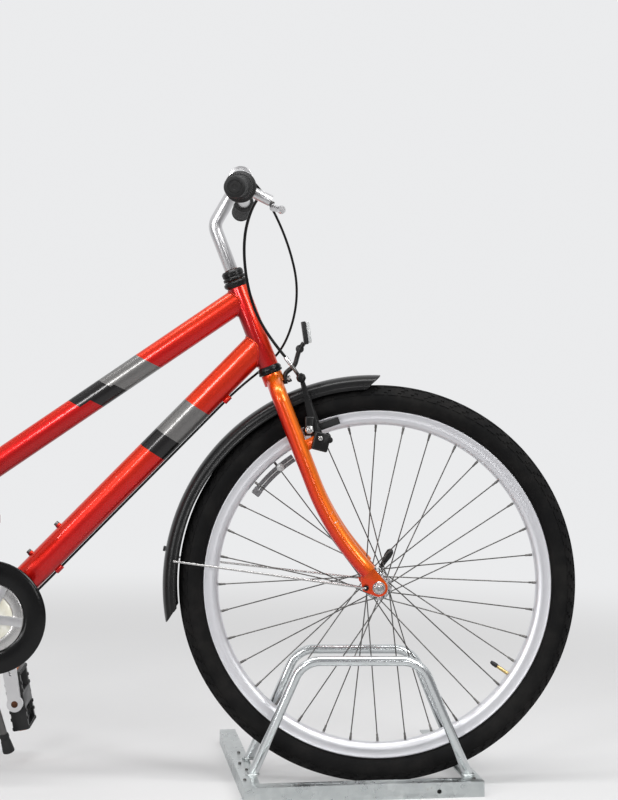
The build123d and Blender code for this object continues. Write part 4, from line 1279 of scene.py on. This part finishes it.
# %% Lever screw, adjuster, stem bolt
ADJUSTER = [
    (2.6, -12), (4.0, -12), (4.6, -10.8), (4.6, -4), (5.6, -3.4),
    (5.6, 2.6), (4.8, 3.4), (3.4, 3.8), (3.4, 7), (2.6, 7),
]
LEVER_TIP = [(0, -7), (4.4, -6.2), (6.4, -3), (6.4, 1), (5.0, 4), (0, 4)]
BOTTLE_RUNS = (450.0, 515.0)
adjuster_way = BRAKE_ROUTE[1] - BRAKE_ROUTE[0]
for name, finish, angle, piece in (
    ("lever_hinge", "dark_steel", 40, put(screw(5.4, 4.0), facing(at(-176, -149, 949), (0.3, 0.0, 0.95)))),
    ("cable_adjuster", "satin_alloy", 35, lathe(ADJUSTER, BRAKE_ROUTE[0], adjuster_way, 20, closed=True)),
    ("stem_clamp_ears", "satin_alloy", 40, put(block((26, 22, 15), 3.0, 3), facing(at(-226, 0, 977.5), UP))),
    ("stem_bolt", "bright_steel", 40, put(screw(6.0, 6.0), facing(at(-212.5, 0, 977), (1, 0, 0)))),
    ("lever_tip", "satin_alloy", 50, lathe(LEVER_TIP, at(-160, -253, 932.2), -SIDEWAYS, steps=20)),
):
    hand_over(piece, name, finish, "steering", angle=angle)
bottle_spots = [DOWN_TOP + (DOWN_ALONG * run - DOWN_BELOW * 27.0) * MM for run in BOTTLE_RUNS]
bottle_bolts = repeat(screw(4.4, 5.0), [facing(spot, -DOWN_BELOW) for spot in bottle_spots])
hand_over(bottle_bolts, "bottle_bolts", "dark_steel", "frame")
print("fittings done,", len(MADE), "pieces")

# %% [markdown]
# ## Chain
# A roller chain is two kinds of link by turns: outer plates with riveted pins, and inner
# plates with rollers between them. One of each is modelled and copied round the loop, which
# is two straight runs and two arcs round the toothed wheels.

# %% Chain links
PITCH = 12.7
RING_TEETH, COG_TEETH = 42, 18
RING_R = PITCH / (2 * math.sin(math.pi / RING_TEETH))
COG_R = PITCH / (2 * math.sin(math.pi / COG_TEETH))
CHAIN_Y = -47.0
PLATE_R, PLATE_THICK, PLATE_WAIST = 4.2, 1.0, 0.72


def chain_path():
    """The joints of the chain in order, as points on the loop."""
    span = (REAR_HUB - CRANK_AXLE) / MM
    tilt = math.atan2(span.z, span.x)
    open_by = math.acos((RING_R - COG_R) / span.length)
    run = math.sqrt(span.length ** 2 - (RING_R - COG_R) ** 2)
    arcs = (2 * open_by * COG_R, 2 * (math.pi - open_by) * RING_R)
    total = 2 * run + sum(arcs)
    links = 2 * round(total / PITCH / 2)
    for k in range(links):
        s = total * k / links
        if s < run:
            angle, share, reach = tilt - open_by, s / run, None
        elif s < run + arcs[0]:
            angle, share, reach = tilt - open_by + (s - run) / COG_R, 1.0, COG_R
        elif s < 2 * run + arcs[0]:
            angle, share, reach = tilt + open_by, 1 - (s - run - arcs[0]) / run, None
        else:
            angle, share, reach = tilt + open_by + (s - 2 * run - arcs[0]) / RING_R, 0.0, RING_R
        reach = reach or RING_R + (COG_R - RING_R) * share
        spot = CRANK_AXLE / MM + span * share
        yield Vector((spot.x + reach * math.cos(angle), CHAIN_Y, spot.z + reach * math.sin(angle))) * MM


def link(plate_y, core_r, core_length):
    """Two waisted side plates and the two round parts between or through them."""
    parts = []
    middle = (PITCH * 0.5 * MM, 0, 0)
    for side in SIDES:
        plate = cylinder(12, PLATE_R, PLATE_THICK)
        for vertex in plate.data.vertices:
            vertex.co.x += PITCH * MM if vertex.co.x > 0 else 0.0
            vertex.co.z += side * plate_y * MM
        edit_all(plate)
        bpy.ops.mesh.bisect(plane_co=middle, plane_no=(1, 0, 0))
        bpy.ops.transform.resize(value=(1, PLATE_WAIST, 1), center_override=middle)
        leave_edit()
        parts.append(plate)
    parts += [cylinder(10, core_r, core_length, x) for x in (0.0, PITCH)]
    pick(parts[0], *parts[1:])
    bpy.ops.object.join()
    return bpy.context.object


joints = list(chain_path())
frames = []
for spot, after in zip(joints, joints[1:] + joints[:1]):
    ahead = (after - spot).normalized()
    turn = Matrix((ahead, -ahead.cross(SIDEWAYS), SIDEWAYS)).transposed().to_4x4()
    frames.append(Matrix.Translation(spot) @ turn)
outer_links = repeat(link(2.9, 1.9, 7.4), frames[0::2])
inner_links = repeat(link(1.75, 3.8, 2.6), frames[1::2])
pick(outer_links, inner_links)
bpy.ops.object.join()
hand_over(bpy.context.object, "chain_links", "dark_steel", "frame", "chain")
print("chain of", len(joints), "links")

# %% [markdown]
# ## Cranks, chain guard, pedals
# The chain guard is a glossy domed ring. Inside it a bright ring and a pale cover disc hide
# the spider. The cranks have a shallow groove with round ends. The pedals are black platforms
# with toothed edges and an amber reflector at each end.

# %% Chain guard and cranks
SHIELD = [
    (58.0, -51.6), (57.8, -53.4), (59.4, -54.6), (64.0, -55.4), (74.0, -56.2),
    (84.0, -55.8), (90.0, -54.8), (93.2, -53.4), (94.0, -52.2), (93.6, -51.5),
]
BRIGHT = [(40.0, -51.4), (40.4, -53.4), (42.0, -54.0), (54.0, -53.6), (57.0, -52.8), (57.4, -51.4)]
COVER = [(18.4, -51.0), (18.4, -56.4), (24.0, -56.0), (34.0, -54.8), (39.4, -53.2), (39.8, -51.0)]
CRANK_CAP = [(0, 0), (10.5, 0), (10.5, 1.4), (8.5, 2.6), (5, 3.0), (0, 3.0)]
SPINDLE_END = [(0, 0), (5.8, 0), (5.8, 0.7), (5.0, 1.2), (0, 1.2)]
CRANK_LENGTH = 170
GROOVE = (12.0, 3.0, 64.0)
LEAN = math.radians(8.3)
LEFT_WAY = Vector((math.sin(LEAN), 0, -math.cos(LEAN)))
WAYS = ((1, "left", LEFT_WAY), (-1, "right", -LEFT_WAY))
shield = lathe(SHIELD, CRANK_AXLE, SIDEWAYS, steps=96, closed=True)
hand_over(shield, "chain_guard_ring", "chain_guard_black", "crankset", "chain_guard", angle=35)
bright = lathe(BRIGHT, CRANK_AXLE, SIDEWAYS, steps=96, closed=True)
hand_over(bright, "spider_ring", "bright_steel", "crankset", slot="polished_alloy", angle=35)
cover = lathe(COVER, CRANK_AXLE, SIDEWAYS, steps=72, closed=True)
hand_over(cover, "spider_cover", "cream_enamel", "crankset", angle=35)
for side, hand, way in WAYS:
    name = "crank_" + hand
    arm = soften(merged_copy(name), 2.4, 3)
    root = CRANK_AXLE + SIDEWAYS * side * 67 * MM
    tip = CRANK_AXLE + (way * CRANK_LENGTH + SIDEWAYS * side * 82) * MM
    for face in SIDES:
        spot = root.lerp(tip, 0.52) + SIDEWAYS * face * 6.9 * MM
        carve(arm, put(block(GROOVE, 1.3), facing(spot, tip - root)))
    hand_over(arm, name + "_arm", "satin_alloy", "crankset", name, angle=32)
    cap = lathe(CRANK_CAP, CRANK_AXLE + SIDEWAYS * side * 74.8 * MM, (0, side, 0), 28)
    hand_over(cap, name + "_cap", "moulded_black", "crankset")
    spindle = lathe(SPINDLE_END, tip - SIDEWAYS * side * 5.8 * MM, (0, -side, 0), 24)
    hand_over(spindle, name + "_spindle", "rusty_steel", "crankset")
print("cranks done,", len(MADE), "pieces")

# %% Pedals
DUST_CAP = [(0, 0), (9.5, 0), (9.5, 1.2), (7.0, 2.6), (0, 3.0)]
PEDAL_Y = 143
TOOTH_Z = 13.6
TOOTH_PLACES = [(x, -39 + 13 * k) for x in (-46.5, 46.5) for k in range(7)]
TOOTH_PLACES += [(x, y) for y in (-41.0, 41.0) for x in (-30, -17, 17, 30)]
for (side, hand, way), tilt in zip(WAYS, (80.0, 0.0)):
    name = "pedal_" + hand
    centre = CRANK_AXLE + (way * CRANK_LENGTH + SIDEWAYS * side * PEDAL_Y) * MM
    place = Matrix.Translation(centre) @ Matrix.Rotation(math.radians(tilt), 4, "Y")
    spots = [Vector((x, y, face * TOOTH_Z)) * MM for x, y in TOOTH_PLACES for face in SIDES]
    teeth = repeat(block((6.0, 6.5, 3.4), 1.0, 1), [place @ Matrix.Translation(spot) for spot in spots])
    hand_over(teeth, name + "_teeth", "moulded_black", name)
    spots = [Vector((x, 0, 0)) * MM for x in (-51.5, 51.5)]
    bars = repeat(block((5.4, 52.0, 14.0), 1.2), [place @ Matrix.Translation(spot) for spot in spots])
    hand_over(bars, name + "_reflectors", "amber_prisms", name)
    dust_cap = lathe(DUST_CAP, centre + SIDEWAYS * side * 44.8 * MM, (0, side, 0), 24)
    hand_over(dust_cap, name + "_dust_cap", "moulded_black", name)
print("drive done,", len(MADE), "pieces")

# %% [markdown]
# ## Saddle
# A foam saddle under a vinyl cover. Its outline is drawn once as a ring, and the ring is
# extruded upwards and inwards in steps, like stretching the cover over the foam. Two levels
# of subdivision make it smooth, and a shallow channel runs along the top.

# %% Saddle
SADDLE_MIDDLE = CRANK_AXLE + SEAT_WAY * 630 * MM
SADDLE_TOP = 950.0
SADDLE_DEEP = 46.0
OUTLINE = [(132, 12), (118, 21), (70, 26), (25, 38), (-20, 66), (-62, 88), (-100, 86), (-124, 58)]
STEPS_IN = ((16, 1.03), (14, 1.0), (8, 0.95), (4.5, 0.84), (2.2, 0.7), (0.8, 0.6), (0.2, 0.4))


def share(value, low, high):
    """How far a value has gone from low to high, kept between 0 and 1."""
    return min(max((value - low) / (high - low), 0.0), 1.0)


plan = [(135, 0)] + OUTLINE + [(-128, 0)] + [(x, -y) for x, y in reversed(OUTLINE)]
bpy.ops.object.select_all(action="DESELECT")
bpy.ops.mesh.primitive_circle_add(vertices=len(plan), radius=0.1)
saddle = bpy.context.object
for vertex, (x, y) in zip(saddle.data.vertices, plan):
    vertex.co = Vector((x, y, SADDLE_TOP - SADDLE_DEEP)) * MM
edit_all(saddle)
for rise, shrink in STEPS_IN:
    bpy.ops.mesh.extrude_edges_move(TRANSFORM_OT_translate={"value": (0, 0, rise * MM)})
    bpy.ops.transform.resize(value=(shrink, shrink, 1), center_override=(-10 * MM, 0, 0))
bpy.ops.mesh.edge_face_add()
bpy.ops.mesh.select_all(action="DESELECT")
bpy.ops.mesh.select_non_manifold()
bpy.ops.mesh.edge_face_add()
bpy.ops.mesh.inset(thickness=5 * MM, depth=-4 * MM)
bpy.ops.mesh.select_all(action="SELECT")
bpy.ops.mesh.normals_make_consistent(inside=False)
leave_edit()
modify(saddle, "SUBSURF", levels=2, render_levels=2)
for vertex in saddle.data.vertices:
    x, y, z = vertex.co / MM
    channel = 3.0 * math.exp(-(y / 9.0) ** 2) * math.exp(-((x + 25) / 75) ** 2)
    tail_lift = 5.0 * share(-x, 60, 130) - 7.0 * share(x, 60, 135) ** 2
    vertex.co.z += share(z, SADDLE_TOP - 30, SADDLE_TOP) * (tail_lift - channel - 4.0) * MM
    vertex.co.x += SADDLE_MIDDLE.x
hand_over(saddle, "saddle_cushion", "saddle_vinyl", "frame", "saddle", angle=60)
print("saddle", [round(c / MM) for c in saddle.dimensions])

# %% [markdown]
# ## Stand foot and rack
# The stand ends in a flared rubber foot. The rack's rails carry slotted holes, the hoops are
# welded on with a rough bead, and small dark bolts sit beside their feet.

# %% Stand foot, rack holes, welds, bolts
KICK_PIVOT = CRANK_AXLE + Vector((-42, 35, -30)) * MM
KICK_FOOT = Vector((CRANK_AXLE.x + 14 * MM, 78 * MM, 34 * MM))
FOOT = [
    (6.4, -30), (7.6, -30), (8.4, -27), (8.4, -24), (7.8, -23), (7.8, -20),
    (8.6, -16), (9.6, -6), (10.4, 0), (10.0, 3), (8.0, 4.2), (0, 4.4),
]
RAIL_START, RAIL_END = at(-218, -145, 0), at(167, -100, 0)
RAIL_WAY = (RAIL_END - RAIL_START).normalized()
RAIL_IN = Vector((-RAIL_WAY.y, RAIL_WAY.x, 0))
WALL_HOLE = 314
PLUG = [(0, 0), (6.0, 0), (6.0, 1.0), (0, 1.0)]
BOLT_PLACES = ((-218, -92), (-216, -24), (-228, 20), (-231, 96), (152, -84), (147, -24), (142, 22), (135, 96))
DABS = 28


def on_rail(run, inward, z):
    """A point along the near rail, in from its outer wall and up from the floor."""
    return RAIL_START + (RAIL_WAY * run + RAIL_IN * inward + UP * z) * MM


def cut_hole(piece, spot, size):
    """Cut a slot with round ends through a rail."""
    turn = Matrix.Rotation(math.atan2(RAIL_WAY.y, RAIL_WAY.x), 4, "Z")
    carve(piece, put(block(size, min(size) * 0.49, 5), Matrix.Translation(spot) @ turn))


foot = lathe(FOOT, KICK_FOOT, KICK_FOOT - KICK_PIVOT, steps=28)
hand_over(foot, "stand_foot", "grip_black", "kickstand", "kickstand_foot", angle=45)
rails = merged_copy("rack_base")
for run in (72.0, 330.0):
    cut_hole(rails, on_rail(run, 14, 23.5), (17.0, 9.0, 22.0))
cut_hole(rails, on_rail(WALL_HOLE, 1.5, 10.5), (7.5, 20.0, 7.5))
plug = lathe(PLUG, on_rail(WALL_HOLE, 4.5, 10.5), RAIL_IN, steps=20)
hand_over(plug, "rail_plug", "moulded_black", "frame", slot="bright_steel")
hand_over(soften(rails, 0.7), "rack_rails", "zinc", "frame", "rack_base", angle=32)
for back, y in ((0.0, -56.0), (7.0, 56.0)):
    for x in (-206.0, 145.0):
        turns = [2 * math.pi * k / DABS for k in range(DABS)]
        ring = [at(x - back + 9.4 * math.cos(a), y + 8.4 * math.sin(a), 25.6) for a in turns]
        bead("rack_weld_" + str(len(MADE)), ring, 2.1, "zinc")
bolts = repeat(screw(2.7, 2.2), [facing(at(x, y, 24.9), UP) for x, y in BOLT_PLACES])
hand_over(bolts, "rack_bolts", "dark_steel", "frame")
print("rack done,", len(MADE), "pieces")

# %% [markdown]
# ## Turned, bent and flat parts
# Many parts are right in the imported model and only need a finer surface: tubes, stays,
# plates. Each gets a merged copy with softened edges and smooth shading. The softening is
# written for each part in millimetres, and 0 leaves the edges as they are.

# %% Refined copies
REFINED = {
    "head_tube": ("paint_head", 0.6),
    "top_tube": ("paint_top_tube", 0),
    "down_tube": ("paint_down_tube", 0),
    "seat_tube": ("paint", 0),
    "bottom_bracket_shell": ("paint", 0.8),
    "chain_stays": ("paint", 0),
    "seat_stays": ("paint", 0),
    "rear_dropouts": ("paint", 0.7),
    "fork_crown": ("paint_fork", 0.8),
    "fork_blades": ("paint_fork", 0.6),
    "frame_bosses": ("paint", 0.4),
    "front_brake_pads": ("grip_black", 0.8),
    "pedal_left": ("moulded_black", 1.2),
    "pedal_right": ("moulded_black", 1.2),
    "stem": ("satin_alloy", 0.8),
    "handlebar": ("satin_alloy", 0.4),
    "seat_post": ("satin_alloy", 1.0),
    "chainring": ("bright_steel", 0.3),
    "brake_lever": ("satin_alloy", 0.6),
    "brake_bracket": ("satin_alloy", 0.8),
    "front_spokes": ("spoke_steel", 0),
    "rear_spokes": ("spoke_steel", 0),
    "rear_sprocket": ("dark_steel", 0.3),
    "saddle_rails": ("bright_steel", 0),
    "front_mudguard_stays": ("bright_steel", 0),
    "rear_mudguard_stays": ("bright_steel", 0),
    "seat_clamp": ("bright_steel", 0.8),
    "kickstand_leg": ("dark_steel", 0.6),
    "kickstand_bracket": ("bright_steel", 0.6),
    "rack_hoops": ("hoop_steel", 0.4),
}
for node, (finish, width) in REFINED.items():
    piece = merged_copy(node)
    if width:
        soften(piece, width)
    hand_over(piece, node + "_shell", finish, BODY_OF[node], node, slot=SLOT_OF[node], angle=32)
print("refined", len(MADE), "pieces")

# %% [markdown]
# ## The studio
# A pale floor that fades into a backdrop of the same tone, soft light from a few panels, and
# a camera where the picture was taken: level, three metres to the right of the bicycle.
# What the camera sees of floor and room is pale, and the floor is painted greyer near the
# bicycle as painted shade. What metal and lacquer mirror is darker on the camera's side, as
# in a real studio, so that they keep their depth.

# %% Floor
BACKDROP = (0.83, 0.835, 0.845, 1)
ROOM_DARK = (0.27, 0.27, 0.28, 1)
# The painted shade of the floor near the bicycle.
NEAR_FLOOR_SHADE = (0.68, 0.675, 0.675, 1)
FLOOR_SIZE = 60


def studio_white(w):
    return {"Base Color": (0.80, 0.80, 0.80), "Roughness": 0.7, "Specular IOR Level": 0.1}


floor_finish = finish_of("studio_white", studio_white)
floor_nodes = floor_finish.node_tree.nodes
w = Wire(floor_finish.node_tree)
flat = w.place().vector("MULTIPLY", (1, 1, 0), out=0)
away = w.add("VectorMath", {"operation": "LENGTH"}, {0: flat}, out="Value")
fade = away.ramp(0.9, 2.6) * 0.55 + 0.45
seen = w.add("LightPath", out="Is Camera Ray")
seen_through = w.add("LightPath", out="Is Transmission Ray")
direct = w.maths("MAXIMUM", seen, seen_through)
far_side = w.place().dot(SIDEWAYS).ramp(-1.2, 1.4)
sheen = far_side.blend(ROOM_DARK, BACKDROP)
# Seen directly, the floor is painted greyer near the bicycle, a painted shade, and fades into the backdrop
# tone further out.
pale = away.ramp(1.3, 2.8).blend(NEAR_FLOOR_SHADE, BACKDROP)
glow = w.add("Emission", {}, {"Color": direct.blend(sheen, pale), "Strength": 1.0})
shaded = Wire(floor_finish.node_tree, floor_nodes["Principled BSDF"].outputs[0])
swept = w.add("MixShader", {}, {0: fade, 1: shaded, 2: glow})
floor_finish.node_tree.links.new(swept.socket, floor_nodes["Material Output"].inputs["Surface"])
bpy.ops.object.select_all(action="DESELECT")
bpy.ops.mesh.primitive_plane_add(size=1, location=(0, 0, 0))
floor = bpy.context.object
floor.name = "studio_floor"
edit_all(floor)
bpy.ops.transform.resize(value=(FLOOR_SIZE, FLOOR_SIZE, 1))
leave_edit()
floor.data.materials.append(floor_finish)
print("floor", FLOOR_SIZE, "m wide")

# %% Room, panels and camera
TO_BACKDROP = Vector((-0.1, 0.75, 0.65)).normalized()
DAYLIGHT = (0.95, 0.97, 1.0, 1)
world = bpy.context.scene.world or bpy.data.worlds.new("studio")
bpy.context.scene.world = world
world.use_nodes = True
tree = world.node_tree
tree.nodes.clear()
w = Wire(tree)
camera_ray, glossy_ray, through_ray = (
    w.add("LightPath", out=kind) for kind in ("Is Camera Ray", "Is Glossy Ray", "Is Transmission Ray")
)
toward = w.add("TexCoord", out="Generated").dot(TO_BACKDROP)
room = toward.ramp(-0.35, 0.55).blend(ROOM_DARK, BACKDROP)
behind = w.add("Background", {}, {"Color": BACKDROP, "Strength": 1.0})
mirrored_room = w.add("Background", {}, {"Color": room, "Strength": 1.0})
ambient = w.add("Background", {}, {"Color": DAYLIGHT, "Strength": 0.34})
lit = w.add("MixShader", {}, {0: glossy_ray, 1: ambient, 2: mirrored_room})
mixed = w.add("MixShader", {}, {0: w.maths("MAXIMUM", camera_ray, through_ray), 1: lit, 2: behind})
output = tree.nodes.new("ShaderNodeOutputWorld")
tree.links.new(mixed.socket, output.inputs["Surface"])


def panel(name, spot, target, size, power):
    """A soft rectangular light that looks at a point."""
    bpy.ops.object.light_add(type="AREA", location=spot)
    lamp = bpy.context.object
    lamp.name = name
    lamp.data.shape = "RECTANGLE"
    lamp.data.size, lamp.data.size_y = size
    lamp.data.energy = power
    lamp.rotation_euler = (Vector(target) - Vector(spot)).to_track_quat("-Z", "Y").to_euler()
    return lamp


panel("key_panel", (2.6, -2.4, 2.8), (0.3, 0, 0.4), (1.1, 1.6), 75)
panel("top_strip", (0.1, -0.5, 3.4), (0.1, 0, 0.5), (3.6, 0.6), 74)
panel("tube_panel", (-0.95, -3.1, 1.65), (0.1, 0, 0.5), (0.5, 0.5), 22)
panel("side_strip", (-3.0, -3.0, 1.6), (0.0, 0, 0.5), (0.35, 1.8), 45)
panel("low_strip", (-1.7, -2.6, 0.2), (0.45, 0, 0.6), (0.3, 0.9), 11)
panel("front_strip", (1.1, -3.3, 0.85), (0.45, 0, 0.6), (0.2, 0.7), 5)

bpy.ops.object.camera_add(location=(0.3751, -3.0, 0.7494), rotation=(math.radians(90), 0, 0))
camera = bpy.context.object
camera.name = "photo_camera"
camera.data.lens = 81.3
camera.data.sensor_width = 36.0
camera.data.shift_x = 0.049
camera.data.shift_y = -0.0875
bpy.context.scene.camera = camera
bpy.context.scene.view_settings.view_transform = "Standard"
print("camera at", tuple(round(c, 3) for c in camera.location))
